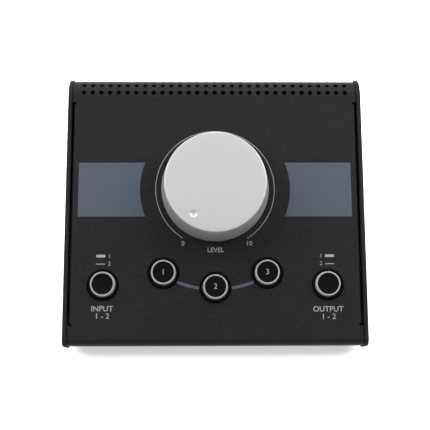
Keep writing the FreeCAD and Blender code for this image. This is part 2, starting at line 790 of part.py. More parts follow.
def base_pan():
    """Bottom plate with a front flange, side flanges and a low rear flange."""
    body = new_body("base_pan")
    turn = 90 - size.slope
    inner = size.pan_bend - size.pan_gauge
    base_out = (PAN_Z - PANEL_Z - PAN_FRONT_ALONG * SIN) / COS
    corner_y = PANEL_Y + reach(PAN_FRONT_ALONG, base_out)
    bend_run = size.pan_bend * tangent(turn / 2)
    centre = (corner_y + bend_run, PAN_Z + size.pan_bend)
    rear_centre = (PAN_REAR_Y - size.pan_bend, PAN_Z + size.pan_bend)
    flange_y = corner_y - size.pan_front * SIN
    flange_z = PAN_Z + size.pan_front * COS
    profile = sketch_on(body, "YZ_Plane")
    outline(profile, [
        (flange_y, flange_z),
        (corner_y - bend_run * SIN, PAN_Z + bend_run * COS),
        (centre[0], PAN_Z, centre, size.pan_bend),
        (rear_centre[0], PAN_Z),
        (PAN_REAR_Y, rear_centre[1], rear_centre, size.pan_bend),
        (PAN_REAR_Y, PAN_Z + size.pan_rear),
        (PAN_REAR_Y - size.pan_gauge, PAN_Z + size.pan_rear),
        (PAN_REAR_Y - size.pan_gauge, rear_centre[1]),
        (rear_centre[0], FLOOR_Z, rear_centre, inner),
        (centre[0], FLOOR_Z),
        (centre[0] - inner * COS, centre[1] - inner * SIN, centre, inner),
        (flange_y + size.pan_gauge * COS, flange_z + size.pan_gauge * SIN),
    ])
    pad(body, profile, PAN_OUTER * 2, both_ways=True)
    pan_sides(body, centre[0] + size.pan_relief, rear_centre[0] - size.pan_relief)
    pan_holes(body)
    place(body, 0, 0, 0)
    keep(body, "base_pan")


def pan_sides(body, front_y, rear_y):
    """Side flanges between relief cuts."""
    start = PAN_OUTER - size.pan_bend
    bend_z = PAN_Z + size.pan_bend
    notches = sketch_on(body, "XY_Plane", z=PAN_Z)
    flanges = sketch_on(body, "XZ_Plane", z=-(front_y + size.pan_relief))
    for side in (-1, 1):
        outline(notches, [
            (start * side, front_y),
            ((PAN_OUTER + OVERCUT) * side, front_y),
            ((PAN_OUTER + OVERCUT) * side, rear_y),
            (start * side, rear_y),
        ])
        centre = (start * side, bend_z)
        outline(flanges, [
            (start * side, PAN_Z),
            (PAN_OUTER * side, bend_z, centre, size.pan_bend),
            (PAN_OUTER * side, PAN_Z + size.pan_side),
            (PAN_INNER * side, PAN_Z + size.pan_side),
            (PAN_INNER * side, bend_z),
            (start * side, FLOOR_Z, centre, size.pan_bend - size.pan_gauge),
        ])
    pocket(body, notches, size.pan_gauge, backwards=True)
    pad(body, flanges, rear_y - front_y - size.pan_relief * 2, backwards=True)


def foot_places():
    across = CHEEK_OUTER - size.foot_inset_x
    front = PANEL_Y + size.foot_inset_y
    rear = REAR_PANEL_Y - size.foot_inset_y
    return [(across * side, y) for y in (front, rear) for side in (-1, 1)]


def pan_holes(body):
    """Holes for feet, pillars, cheek screws and the rear panel's lower screws."""
    floor = sketch_on(body, "XY_Plane", z=PAN_Z)
    for x, y in foot_places():
        circle(floor, x, y, THREAD_HOLE)
    for side in (-1, 1):
        circle(floor, JACK_PILLAR_ACROSS * side, LOWER_HEADER_Y, size.spigot_diameter / 2)
    pocket(body, floor, size.pan_gauge, backwards=True)
    sides = sketch_on(body, "YZ_Plane")
    for y, z in screw_places()[:2]:
        circle(sides, y, z, THREAD_HOLE)
    pocket(body, sides, size.overall_width, both_ways=True)
    rear = sketch_on(body, "XZ_Plane", z=-(PAN_REAR_Y - size.pan_gauge))
    for x in REAR_SCREWS:
        circle(rear, x, LOW_SCREW_Z, THREAD_HOLE)
    pocket(body, rear, size.pan_gauge)


def rear_panel():
    """The upright plate that the sockets' noses pass through, screwed to the pan and to the cover."""
    body = new_body("rear_panel")
    half = CHEEK_INNER - size.seam
    plate = sketch_on(body, "XZ_Plane", z=-REAR_PANEL_INNER_Y)
    top = ROLL_Z - size.seam
    outline(plate, [(-half, LIP_Z), (half, LIP_Z), (half, top), (-half, top)])
    pad(body, plate, size.rear_gauge, backwards=True)
    holes = sketch_on(body, "XZ_Plane", z=-REAR_PANEL_INNER_Y)
    for x in JACKS.values():
        circle(holes, x, JACK_Z, size.nose_diameter / 2 + size.nose_gap)
    circle(holes, 0, JACK_Z, size.mini_nose / 2 + size.nose_gap)
    for x in REAR_SCREWS:
        circle(holes, x, HIGH_SCREW_Z, THREAD_HOLE)
        circle(holes, x, LOW_SCREW_Z, CLEAR_HOLE)
    pocket(body, holes, size.rear_gauge)
    place(body, 0, 0, 0)
    keep(body, "rear_panel")


def cheek_outline(sketch):
    """The cover's side view grown by the cheek's overhang, flat along the bottom."""
    front = (PANEL_Y + reach(NONE, -size.front_bend), rise(NONE, -size.front_bend))
    front_radius = size.front_bend + size.cheek_proud
    rear_radius = size.rear_bend + size.cheek_proud
    low_y = front[0] - front_radius * COS + (front[1] - front_radius * SIN - PAN_Z) * tangent(size.slope)
    corner = size.cheek_corner
    run = corner * tangent(45 - size.slope / 2)
    rear_y = ROLL_Y + rear_radius
    outline(sketch, [
        (front[0] - front_radius * COS, front[1] - front_radius * SIN),
        (front[0] - front_radius * SIN, front[1] + front_radius * COS, front, front_radius),
        (ROLL_Y - rear_radius * SIN, ROLL_Z + rear_radius * COS),
        (ROLL_Y, ROLL_Z + rear_radius, (ROLL_Y, ROLL_Z), rear_radius),
        (rear_y, ROLL_Z, (ROLL_Y, ROLL_Z), rear_radius),
        (rear_y, PAN_Z + corner),
        (rear_y - corner, PAN_Z, (rear_y - corner, PAN_Z + corner), corner),
        (low_y + run, PAN_Z),
        (low_y - run * SIN, PAN_Z + run * COS, (low_y + run, PAN_Z + corner), corner),
    ])


def cheek(label, side):
    """A side cheek with spacer bosses and countersunk holes."""
    body = new_body(label)
    sketch = sketch_on(body, "YZ_Plane", z=CHEEK_INNER * side)
    cheek_outline(sketch)
    plate = pad(body, sketch, size.cheek_thickness, backwards=side < 0)
    outer = CHEEK_OUTER.value * side

    def outer_edge(edge):
        return abs(edge.BoundBox.XMin - outer) < 1e-6 and abs(edge.BoundBox.XMax - outer) < 1e-6

    soften(body, "PartDesign::Fillet", (plate, edge_names(plate, outer_edge)), size.cheek_rounding)
    bosses = sketch_on(body, "YZ_Plane", z=CHEEK_INNER * side)
    holes = sketch_on(body, "YZ_Plane", z=WALL_OUTER * side)
    for y, z in screw_places():
        circle(bosses, y, z, size.boss_diameter / 2)
        circle(holes, y, z, CLEAR_HOLE)
    pad(body, bosses, size.side_slot, backwards=side > 0)
    pocket(body, holes, size.side_slot + size.cheek_thickness, backwards=side > 0)
    for y, z in screw_places():
        sink = body.newObject("PartDesign::SubtractiveCone", body.Name + "_sink")
        wide, narrow = size.sink_head / 2 + size.sink_gap, size.thread / 2 + size.sink_gap
        bind(sink, Radius1=wide, Radius2=narrow, Height=size.sink_depth)
        place(sink, CHEEK_OUTER * side, y, z, -90 * side, axis=(0, 1, 0))
    place(body, 0, 0, 0)
    keep(body, label)


def screw_body(name, head, depth, sunk):
    """A screw along -Z, its head's top at the origin, with a hexagon recess."""
    body = new_body(name)
    sketch = sketch_on(body, "XZ_Plane")
    end = -(depth + size.screw_length)
    rim = NONE if sunk else -depth
    outline(sketch, [
        (NONE, NONE),
        (head / 2, NONE),
        *([] if sunk else [(head / 2, rim)]),
        (size.thread / 2, -depth),
        (size.thread / 2, end),
        (NONE, end),
    ])
    revolve(body, sketch)
    recess = sketch_on(body, "XY_Plane")
    corner = size.driver_flats / math.sqrt(3)
    outline(recess, [(corner * math.cos(turn), corner * math.sin(turn)) for turn in hexagon_turns()])
    pocket(body, recess, size.driver_depth)
    return body


def hexagon_turns():
    return [math.pi / 3 * step for step in range(6)]


def screws(sunk, headed):
    """Every group of screws, copied from the two screw shapes."""
    spots = []
    for side in (-1, 1):
        spots += [(CHEEK_OUTER * side, y, z, 90 * side, (0, 1, 0)) for y, z in screw_places()]
    copies("cheek_screws", sunk, spots)
    rows = ((COVER_REAR_Y, HIGH_SCREW_Z), (REAR_PANEL_Y, LOW_SCREW_Z))
    copies("rear_screws", headed,
           [(x, y + size.round_depth, z, -90, (1, 0, 0)) for y, z in rows for x in REAR_SCREWS])
    head_z = size.foot_height - size.foot_web - size.round_depth
    copies("foot_screws", headed, [(x, y, head_z, 180, (1, 0, 0)) for x, y in foot_places()])
    board = [(x, PANEL_Y + reach(along, BOARD_UNDER - size.round_depth),
              rise(along, BOARD_UNDER - size.round_depth), size.slope + 180, (1, 0, 0))
             for x, along in pillar_places()]
    copies("control_board_screws", headed, board)
    top = JACK_BOARD_TOP + size.round_depth
    copies("jack_board_screws", headed,
           [(JACK_PILLAR_ACROSS * side, LOWER_HEADER_Y, top, None, (0, 0, 1)) for side in (-1, 1)])


def feet():
    """A round rubber foot with a recess for its screw head."""
    recess = size.foot_height - size.foot_web
    base = cylinder("foot_block", 0, 0, NONE, size.foot_height, size.foot_diameter / 2)
    hole = cylinder("foot_hole", 0, 0, NONE, size.foot_height, THREAD_HOLE)
    well = cylinder("foot_well", 0, 0, NONE, recess, size.round_head / 2 + size.foot_well_gap)
    foot = cut("foot", base, [hole, well])
    copies("rubber_feet", foot, [(x, y, 0, None, (0, 0, 1)) for x, y in foot_places()])


# The knob and its potentiometer


def knob():
    """A turned aluminium knob, hollow below, with a boss for its insert."""
    body = new_body("volume_knob")
    base = size.knob_base / 2
    top = size.knob_top / 2
    roof = size.knob_height - size.knob_roof
    slant = (base - top) / (size.knob_height - size.knob_gap)
    bevel = size.knob_bevel
    cavity = base - size.knob_wall
    socket = size.insert_diameter / 2
    profile = sketch_on(body, "XZ_Plane")
    outline(profile, [
        (NONE, size.knob_height),
        (NONE, SHAFT_TOP + bevel),
        (socket, SHAFT_TOP + bevel),
        (socket, INSERT_UNDER),
        (size.knob_boss / 2, INSERT_UNDER),
        (size.knob_boss / 2, roof),
        (top - size.knob_wall, roof),
        (cavity, size.knob_gap),
        (base, size.knob_gap),
        (top + slant * bevel, size.knob_height - bevel),
        (top + slant * bevel - bevel, size.knob_height),
    ])
    revolve(body, profile)
    rim = size.dimple_diameter / 2
    depth = size.dimple_depth
    radius = (rim * rim + depth * depth) / (depth * 2)
    dimple = body.newObject("PartDesign::SubtractiveSphere", body.Name + "_dimple")
    bind(dimple, Radius=radius)
    across = -size.dimple_offset * sine(size.dimple_angle)
    along = -size.dimple_offset * cosine(size.dimple_angle)
    place(dimple, across, along, size.knob_height + radius - depth)
    place_on_panel(body, along=size.knob_along)
    keep(body, "volume_knob")


def flat_cutter(name, low, high, gap):
    """The block that leaves the flat of a D-shaped shaft or bore."""
    width = size.shaft_diameter * 2
    near = size.shaft_flat - size.shaft_diameter / 2 + gap
    return box(name, -width / 2, near, low, width, width, high - low)


def knob_insert():
    """The plastic insert that grips the shaft, with a D-shaped bore."""
    gap = size.press_gap
    outer = cylinder("insert_block", 0, 0, INSERT_UNDER, SHAFT_TOP, size.insert_diameter / 2 - gap)
    round_bore = cylinder("insert_round", 0, 0, INSERT_UNDER, SHAFT_TOP, size.shaft_diameter / 2 + gap)
    bore = cut("insert_bore", round_bore, [flat_cutter("insert_flat", INSERT_UNDER, SHAFT_TOP, gap)])
    keep(place_on_panel(cut("insert", outer, [bore]), along=size.knob_along), "knob_insert")


def potentiometer():
    """Housing, threaded bushing, shaft with two wiper discs, washer and nut."""
    shaft = size.shaft_diameter / 2
    floor = size.pot_foot - size.board_drop
    cavity_floor = floor + size.pot_wall
    cavity = size.rotor_diameter / 2 + size.rotor_gap
    rotor_top = BUSH_UNDER - size.rotor_gap
    low_rotor = cavity_floor + size.rotor_gap
    discs = [
        cylinder("shaft_rod", 0, 0, low_rotor, SHAFT_TOP, shaft),
        cylinder("upper_wiper", 0, 0, rotor_top - size.rotor_gauge, rotor_top, size.rotor_diameter / 2),
        cylinder("lower_wiper", 0, 0, low_rotor, low_rotor + size.rotor_gauge, size.rotor_diameter / 2),
    ]
    rod = cut("shaft", fused("shaft_round", discs), [flat_cutter("shaft_cut", BUSH_TOP, SHAFT_TOP, NONE)])
    keep(place_on_panel(rod, along=size.knob_along), "pot_shaft")

    block = centred_box("pot_block", 0, 0, floor, BUSH_UNDER, size.pot_width, size.pot_length)
    pins = [centred_box("pot_pin", x, y, BOARD_UNDER - size.pin_spare, floor, size.pin_width, size.pin_width)
            for x, y in pin_places(size.pot_pin_pitch)]
    room = cylinder("pot_room", 0, 0, cavity_floor, BUSH_UNDER, cavity)
    housing = cut("pot", fused("pot_solid", [block, *pins]), [room])
    keep(place_on_panel(housing, along=size.knob_along), "pot_housing")

    plate = centred_box("bush_plate", 0, 0, BUSH_UNDER, -size.cover_gauge, size.pot_width, size.pot_length)
    neck = cylinder("bush_neck", 0, 0, BUSH_UNDER, BUSH_TOP, size.bush_diameter / 2)
    bore = cylinder("bush_bore", 0, 0, BUSH_UNDER, BUSH_TOP, shaft + size.running_gap)
    bush = cut("bush", fused("bush_solid", [plate, neck]), [bore])
    keep(place_on_panel(bush, along=size.knob_along), "pot_bushing")

    thread = size.bush_diameter / 2 + size.thread_gap
    ring = cylinder("washer_disc", 0, 0, NONE, size.washer_gauge, size.washer_diameter / 2)
    washer = cut("washer", ring, [cylinder("washer_hole", 0, 0, NONE, size.washer_gauge, thread)])
    keep(place_on_panel(washer, along=size.knob_along), "pot_washer")
    block = prism("pot_nut_block", size.washer_gauge, NUT_TOP, size.nut_flats)
    nut = cut("pot_nut", block, [cylinder("pot_nut_hole", 0, 0, size.washer_gauge, NUT_TOP, thread)])
    keep(place_on_panel(nut, along=size.knob_along), "pot_nut")


# Buttons and switches


def button_cap(name, across, along):
    """A black cap with a collar, and a square socket for the plunger's stem."""
    body = new_body(name + "_cap")
    core = size.ring_diameter / 2 - size.ring_wall - size.ring_gap
    collar = size.collar_diameter / 2
    sketch = sketch_on(body, "XZ_Plane")
    outline(sketch, [
        (NONE, COLLAR_UNDER),
        (collar, COLLAR_UNDER),
        (collar, -size.collar_sink),
        (core, -size.collar_sink),
        (core, size.button_height),
        (NONE, size.button_height),
    ])
    revolve(body, sketch)
    socket = sketch_on(body, "XY_Plane", z=COLLAR_UNDER)
    half = size.stem_width / 2 + size.press_gap
    outline(socket, [(-half, -half), (half, -half), (half, half), (-half, half)])
    pocket(body, socket, size.stem_grip + size.press_gap, backwards=True)
    keep(place_on_panel(body, across, along), name + "_cap")


def button_ring(name, across, along):
    """The light ring round the cap."""
    body = new_body(name + "_ring")
    outer = size.ring_diameter / 2
    inner = outer - size.ring_wall
    soft = size.ring_rounding
    top = size.button_height
    sketch = sketch_on(body, "XZ_Plane")
    outline(sketch, [
        (inner, -size.collar_sink),
        (outer, -size.collar_sink),
        (outer, top - soft),
        (outer - soft, top, (outer - soft, top - soft), soft),
        (inner, top),
    ])
    revolve(body, sketch)
    keep(place_on_panel(body, across, along), name + "_ring")


def plunger(name, across, along):
    """The switch's moving piece: a square stem on a shoulder."""
    stem = centred_box(name + "_stem", 0, 0, SHOULDER_TOP, STEM_TOP, size.stem_width, size.stem_width)
    shoulder = centred_box(name + "_shoulder", 0, 0, SHOULDER_UNDER, SHOULDER_TOP,
                           size.shoulder_width, size.shoulder_width)
    keep(place_on_panel(fused(name + "_plug", [stem, shoulder]), across, along), name + "_plunger")


def return_spring(name, across, along):
    """The return spring under the plunger, as the tube that its coils fill."""
    outer = size.spring_diameter / 2
    coil = cylinder(name + "_coil", 0, 0, CAVITY_FLOOR, SHOULDER_UNDER, outer)
    core = cylinder(name + "_core", 0, 0, CAVITY_FLOOR, SHOULDER_UNDER, outer - size.spring_wire)
    keep(place_on_panel(cut(name + "_tube", coil, [core]), across, along), name + "_spring")


def switch(name, across, along):
    """The switch body, hollow for plunger and spring, with its terminals."""
    stem = size.stem_width + size.slide_gap * 2
    room = size.shoulder_width + size.slide_gap * 2
    width = size.switch_width
    block = centred_box(name + "_block", 0, 0, -size.board_drop, SWITCH_TOP, width, width)
    pins = [centred_box(name + "_pin", x, y, BOARD_UNDER - size.pin_spare, -size.board_drop,
                        size.pin_width, size.pin_width) for x, y in pin_places(size.switch_pin_pitch)]
    mouth = centred_box(name + "_mouth", 0, 0, SWITCH_TOP - size.switch_lid, SWITCH_TOP, stem, stem)
    hollow = centred_box(name + "_hollow", 0, 0, CAVITY_FLOOR, SWITCH_TOP - size.switch_lid, room, room)
    body = cut(name + "_shell", fused(name + "_solid", [block, *pins]), [mouth, hollow])
    keep(place_on_panel(body, across, along), name + "_switch")


def buttons():
    for name, (across, along) in BUTTONS.items():
        button_cap(name, across, along)
        button_ring(name, across, along)
        plunger(name, across, along)
        return_spring(name, across, along)
        switch(name, across, along)


# Boards


def pillar_places():
    rows = (size.pillar_front, size.pillar_rear)
    return [(PILLAR_ACROSS * side, along) for along in rows for side in (-1, 1)]


def control_board():
    """The board that carries the switches and the potentiometer, with its pin and screw holes."""
    half = BOARD_END
    hole = size.pin_width * math.sqrt(0.5) + size.pin_hole_gap
    body = new_body("control_board")
    plate = sketch_on(body, "XY_Plane", z=BOARD_UNDER)
    outline(plate, [
        (-half, size.board_front),
        (half, size.board_front),
        (half, size.board_rear),
        (-half, size.board_rear),
    ])
    pad(body, plate, size.board_gauge)
    holes = sketch_on(body, "XY_Plane", z=BOARD_UNDER)
    for across, along in pillar_places():
        circle(holes, across, along, THREAD_HOLE)
    for x, y in pin_places(size.pot_pin_pitch):
        circle(holes, x, size.knob_along + y, hole)
    for across, along in BUTTONS.values():
        for x, y in pin_places(size.switch_pin_pitch):
            circle(holes, across + x, along + y, hole)
    pocket(body, holes, size.board_gauge, backwards=True)
    keep(place_on_panel(body), "control_board")


def resistors():
    """The passive network of the dimming pad and the mono sum: axial resistors lying on the board."""
    middle = size.resistor_diameter / 2
    wire = size.resistor_wire / 2
    bend = size.resistor_bend
    body = lying_cylinder("resistor_body", middle, size.resistor_length, middle)
    lead = lying_cylinder("resistor_lead", wire, size.resistor_span - bend * 2, middle)
    pieces = [body, lead]
    for side, turn, axis in ((1, 90, (1, 0, 0)), (-1, 180, (0, 1, 1))):
        elbow = doc.addObject("Part::Torus", "resistor_elbow")
        elbow.Angle3 = 90
        bind(elbow, Radius1=bend, Radius2=wire)
        place(elbow, (size.resistor_span / 2 - bend) * side, 0, middle - bend, turn, axis)
        leg = cylinder("resistor_leg", size.resistor_span / 2 * side, 0, NONE, middle - bend, wire)
        pieces += [elbow, leg]
    resistor = fused("resistor", pieces)
    spots = []
    for side in (-1, 1):
        for step in range(int(size.resistor_rows.value)):
            along = size.resistor_start + size.resistor_pitch * step
            spots.append((size.resistor_across * side, PANEL_Y + reach(along, -size.board_drop),
                          rise(along, -size.board_drop), size.slope, (1, 0, 0)))
    copies("pad_resistors", resistor, spots)


def pillars():
    """Threaded pillars: four under the panel, two with spigots on the pan."""
    length = size.board_drop - size.cover_gauge
    block = cylinder("panel_pillar_block", 0, 0, NONE, length, size.pillar_diameter / 2)
    bore = cylinder("panel_pillar_bore", 0, 0, NONE, length - size.cover_gauge, THREAD_HOLE)
    pillar = cut("panel_pillar", block, [bore])
    drop = -size.board_drop
    spots = [(x, PANEL_Y + reach(along, drop), rise(along, drop), size.slope, (1, 0, 0))
             for x, along in pillar_places()]
    under_panel = linked(pillar, spots)
    lift = size.jack_board_lift
    round_block = cylinder("pan_pillar_block", 0, 0, NONE, lift, size.pillar_diameter / 2)
    spigot = cylinder("pan_pillar_spigot", 0, 0, -size.pan_gauge, NONE, size.spigot_diameter / 2)
    thread = cylinder("pan_pillar_bore", 0, 0, -size.pan_gauge, lift, THREAD_HOLE)
    short = cut("pan_pillar", fused("pan_pillar_solid", [round_block, spigot]), [thread])
    spots = [(JACK_PILLAR_ACROSS * side, LOWER_HEADER_Y, FLOOR_Z, None, (0, 0, 1)) for side in (-1, 1)]
    grouped("board_pillars", under_panel + linked(short, spots))


def jack_pin_places():
    """Terminals of one socket, behind the rear panel."""
    return [-(size.jack_pin_first + size.jack_pin_pitch * step) for step in range(int(size.jack_pins.value))]


def jack_board():
    """The board on the pan's floor that carries the sockets."""
    half = JACK_BOARD_END
    front = LOWER_HEADER_Y - size.header_depth / 2 - size.jack_board_lead
    rear = REAR_PANEL_INNER_Y - size.jack_board_inset
    hole = size.pin_width * math.sqrt(0.5) + size.pin_hole_gap
    body = new_body("jack_board")
    plate = sketch_on(body, "XY_Plane", z=JACK_BOARD_Z)
    outline(plate, [(-half, front), (half, front), (half, rear), (-half, rear)])
    pad(body, plate, size.board_gauge)
    holes = sketch_on(body, "XY_Plane", z=JACK_BOARD_Z)
    for side in (-1, 1):
        circle(holes, JACK_PILLAR_ACROSS * side, LOWER_HEADER_Y, THREAD_HOLE)
    for x in JACKS.values():
        for y in jack_pin_places():
            circle(holes, x, REAR_PANEL_INNER_Y + y, hole)
    pocket(body, holes, size.board_gauge, backwards=True)
    keep(place(body, 0, 0, 0), "jack_board")


def socket(name, x, width, depth, nose, bore, bore_depth, pins):
    """A socket on the jack board: body, threaded nose through the rear panel, and a blind bore."""
    low = -size.jack_axis
    block = box(name + "_block", -width / 2, -depth, low, width, depth, size.jack_axis * 2)
    terminals = [box(name + "_pin", -size.pin_width / 2, y - size.pin_width / 2,
                     low - size.board_gauge - size.pin_spare,
                     size.pin_width, size.pin_width, size.board_gauge + size.pin_spare) for y in pins]
    reach_out = size.rear_gauge + size.nose_length
    snout = doc.addObject("Part::Cylinder", name + "_nose")
    bind(snout, Radius=nose / 2, Height=reach_out)
    place(snout, 0, 0, 0, -90)
    hole = doc.addObject("Part::Cylinder", name + "_bore")
    bind(hole, Radius=bore / 2, Height=bore_depth)
    place(hole, 0, reach_out - bore_depth, 0, -90)
    body = cut(name + "_shape", fused(name + "_solid", [block, snout, *terminals]), [hole])
    keep(place(body, x, REAR_PANEL_INNER_Y, JACK_Z), name)


def sockets():
    for name, x in JACKS.items():
        socket(name + "_jack", x, size.jack_width, size.jack_depth, size.nose_diameter,
               size.jack_bore, size.jack_bore_depth, jack_pin_places())
    socket("mini_input_jack", NONE, size.mini_width, size.mini_depth, size.mini_nose,
           size.mini_bore, size.mini_bore_depth, [])


def socket_nuts():
    """Hexagon nuts on the socket noses and a round one on the small socket."""
    thread = size.nose_diameter / 2 + size.thread_gap
    block = prism("jack_nut_block", NONE, size.jack_nut_gauge, size.jack_nut_flats)
    nut = cut("jack_nut", block, [cylinder("jack_nut_hole", 0, 0, NONE, size.jack_nut_gauge, thread)])
    copies("jack_nuts", nut, [(x, REAR_PANEL_Y, JACK_Z, -90, (1, 0, 0)) for x in JACKS.values()])
    disc = cylinder("mini_nut_disc", 0, 0, NONE, size.jack_nut_gauge, size.mini_nut / 2)
    hole = cylinder("mini_nut_hole", 0, 0, NONE, size.jack_nut_gauge, size.mini_nose / 2 + size.thread_gap)
    keep(place(cut("mini_nut", disc, [hole]), 0, REAR_PANEL_Y, JACK_Z, -90), "mini_jack_nut")


# The ribbon cable and its headers


def ribbon():
    """The flat cable from the control board's header to the jack board's."""
    half = size.ribbon_gauge / 2
    bend = size.ribbon_bend
    lead_y = RIBBON_Y + size.ribbon_lead * SIN
    lead_z = RIBBON_Z - size.ribbon_lead * COS
    centre = (LOWER_HEADER_Y - bend, lead_z - bend * SIN)
    body = new_body("ribbon_cable")
    sketch = sketch_on(body, "YZ_Plane")
    outline(sketch, [
        (RIBBON_Y + half * COS, RIBBON_Z + half * SIN),
        (lead_y + half * COS, lead_z + half * SIN),
        (LOWER_HEADER_Y + half, centre[1], centre, bend + half),
        (LOWER_HEADER_Y + half, LOWER_HEADER_TOP),
        (LOWER_HEADER_Y - half, LOWER_HEADER_TOP),
        (LOWER_HEADER_Y - half, centre[1]),
        (lead_y - half * COS, lead_z - half * SIN, centre, bend - half),
        (RIBBON_Y - half * COS, RIBBON_Z - half * SIN),
    ])
    pad(body, sketch, size.ribbon_width, both_ways=True)
    keep(place(body, 0, 0, 0), "ribbon_cable")


def headers():
    """One header under the control board, one on the jack board."""
    block = doc.addObject("Part::Compound", "header")
    width, depth = size.header_width, size.header_depth
    block.Links = [centred_box("header_block", 0, 0, NONE, size.header_height, width, depth)]
    upper = (0, RIBBON_Y, RIBBON_Z, size.slope, (1, 0, 0))
    lower = (0, LOWER_HEADER_Y, JACK_BOARD_TOP, None, (0, 0, 1))
    copies("ribbon_headers", block, [upper, lower])


def build():
    top_cover()
    base_pan()
    rear_panel()
    cheek("left_cheek", -1)
    cheek("right_cheek", 1)
    sunk = screw_body("sunk_screw", size.sink_head, size.sink_depth, True)
    headed = screw_body("headed_screw", size.round_head, size.round_depth, False)
    screws(sunk, headed)
    feet()
    knob()
    knob_insert()
    potentiometer()
    buttons()
    control_board()
    resistors()
    pillars()
    jack_board()
    sockets()
    socket_nuts()
    ribbon()
    headers()
    doc.recompute()


def check():
    """Stop before anything is written if an object failed or a sub-part's shape isn't sound."""
    for item in doc.Objects:
        if "Invalid" in item.State or "Error" in item.State:
            raise RuntimeError(f"{item.Label} failed: {item.State}")
    for item in PARTS:
        if item.Shape.isNull() or not item.Shape.isValid() or not item.Shape.Solids:
            raise RuntimeError(f"{item.Label} has no sound shape")


def write():
    os.makedirs("parts", exist_ok=True)
    for item in PARTS:
        item.Shape.exportStep(f"parts/{item.Label}.step")


build()
check()
write()
print(len(PARTS), "sub-parts")
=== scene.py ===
import json
import math

import bmesh
import bpy
from mathutils import Matrix, Vector


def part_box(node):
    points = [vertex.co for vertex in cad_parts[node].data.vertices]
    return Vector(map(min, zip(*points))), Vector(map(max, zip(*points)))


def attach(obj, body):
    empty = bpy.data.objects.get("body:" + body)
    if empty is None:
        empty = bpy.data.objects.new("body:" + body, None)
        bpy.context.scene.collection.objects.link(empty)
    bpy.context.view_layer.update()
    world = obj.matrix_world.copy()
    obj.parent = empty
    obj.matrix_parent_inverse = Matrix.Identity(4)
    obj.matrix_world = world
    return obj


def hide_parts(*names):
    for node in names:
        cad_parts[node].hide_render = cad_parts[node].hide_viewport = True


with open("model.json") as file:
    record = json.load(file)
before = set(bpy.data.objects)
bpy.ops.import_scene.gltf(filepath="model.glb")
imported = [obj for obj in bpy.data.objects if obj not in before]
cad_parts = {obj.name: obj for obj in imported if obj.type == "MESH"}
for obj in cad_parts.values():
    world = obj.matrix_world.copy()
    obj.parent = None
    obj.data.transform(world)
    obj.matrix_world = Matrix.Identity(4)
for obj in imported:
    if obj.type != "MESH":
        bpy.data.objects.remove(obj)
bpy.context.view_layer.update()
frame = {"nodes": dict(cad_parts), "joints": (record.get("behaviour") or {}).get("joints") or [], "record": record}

bl_info = {
    "name": "Studio monitor controller",
    "version": (1, 0, 0),
    "blender": (4, 5, 0),
    "location": "3D View > Sidebar > Controller",
    "description": "Builds the looks of a desktop studio monitor controller around its packed parts",
    "category": "Add Mesh",
}

MM = 0.001
CAPITAL_HEIGHT = 0.729  # height of a capital letter of the built-in font at size 1
BUTTONS = ("input_select", "mono", "mute", "dim", "output_select")
FUNCTIONS = ("mono", "mute", "dim")
MOUNTS = {mount["name"]: mount for mount in frame["record"]["mounts"]}
JACKS = [name.removesuffix("_socket") for name in MOUNTS
         if name.endswith("_socket") and not name.startswith("mini")]


# Places


def panel_place():
    """The panel's own axes at the knob: X across, Y up the slope, Z out of the panel."""
    joint = next(joint for joint in frame["joints"] if joint["name"] == "volume_turn")
    out = -Vector(joint["axis"]).normalized()
    right = Vector((1, 0, 0))
    turn = Matrix((right, out.cross(right), out)).transposed()
    return Matrix.Translation(joint["pos_m"]) @ turn.to_4x4()


PANEL = panel_place()


def on_panel(across=0.0, up=0.0, out=0.0):
    """Millimetres at a spot of the panel, turned into the object's metres."""
    return PANEL @ Matrix.Translation(Vector((across, up, out)) * MM) @ Matrix.Scale(MM, 4)


def button_spot(name):
    """Across and up, in millimetres, of a button's axis."""
    low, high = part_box(name + "_cap")
    spot = PANEL.inverted() @ ((low + high) / 2)
    return spot.x / MM, spot.y / MM


def span(node, place):
    """Largest radius, lowest and highest point, in millimetres, of a part about a place's axis."""
    item = frame["nodes"][node]
    spots = [place.inverted() @ item.matrix_world @ corner.co for corner in item.data.vertices]
    heights = [spot.z for spot in spots]
    return max(spot.xy.length for spot in spots), min(heights), max(heights)


def at_rear(mount):
    """Millimetres at the mouth of a socket: X rightwards and Y upwards as seen from behind, Z outwards."""
    turn = Matrix(((-1, 0, 0), (0, 0, 1), (0, 1, 0)))
    return Matrix.Translation(MOUNTS[mount]["pos_m"]) @ turn.to_4x4() @ Matrix.Scale(MM, 4)


# Shapes, drawn in millimetres


def turned(corners, steps=96, closed=False):
    """A shape turned about Z. A corner is (radius, height) or (radius, height, rounding)."""
    mesh = bmesh.new()
    points = [mesh.verts.new((corner[0], 0, corner[1])) for corner in corners]
    for first, second in zip(points, points[1:]):
        mesh.edges.new((first, second))
    if closed:
        mesh.edges.new((points[-1], points[0]))
    for point, corner in zip(points, corners):
        if len(corner) > 2:
            bmesh.ops.bevel(mesh, geom=[point], offset=corner[2], offset_type="OFFSET", segments=5,
                            profile=0.5, affect="VERTICES", material=-1)
    bmesh.ops.spin(mesh, geom=mesh.verts[:] + mesh.edges[:], cent=(0, 0, 0), axis=(0, 0, 1),
                   angle=math.tau, steps=steps, use_merge=True)
    bmesh.ops.remove_doubles(mesh, verts=mesh.verts[:], dist=0.0005)
    bmesh.ops.recalc_face_normals(mesh, faces=mesh.faces[:])
    return mesh


def block(low, high):
    """A box between two corners."""
    low, high = Vector(low), Vector(high)
    mesh = bmesh.new()
    bmesh.ops.create_cube(mesh, size=1)
    bmesh.ops.scale(mesh, vec=high - low, verts=mesh.verts[:])
    bmesh.ops.translate(mesh, vec=(low + high) / 2, verts=mesh.verts[:])
    return mesh


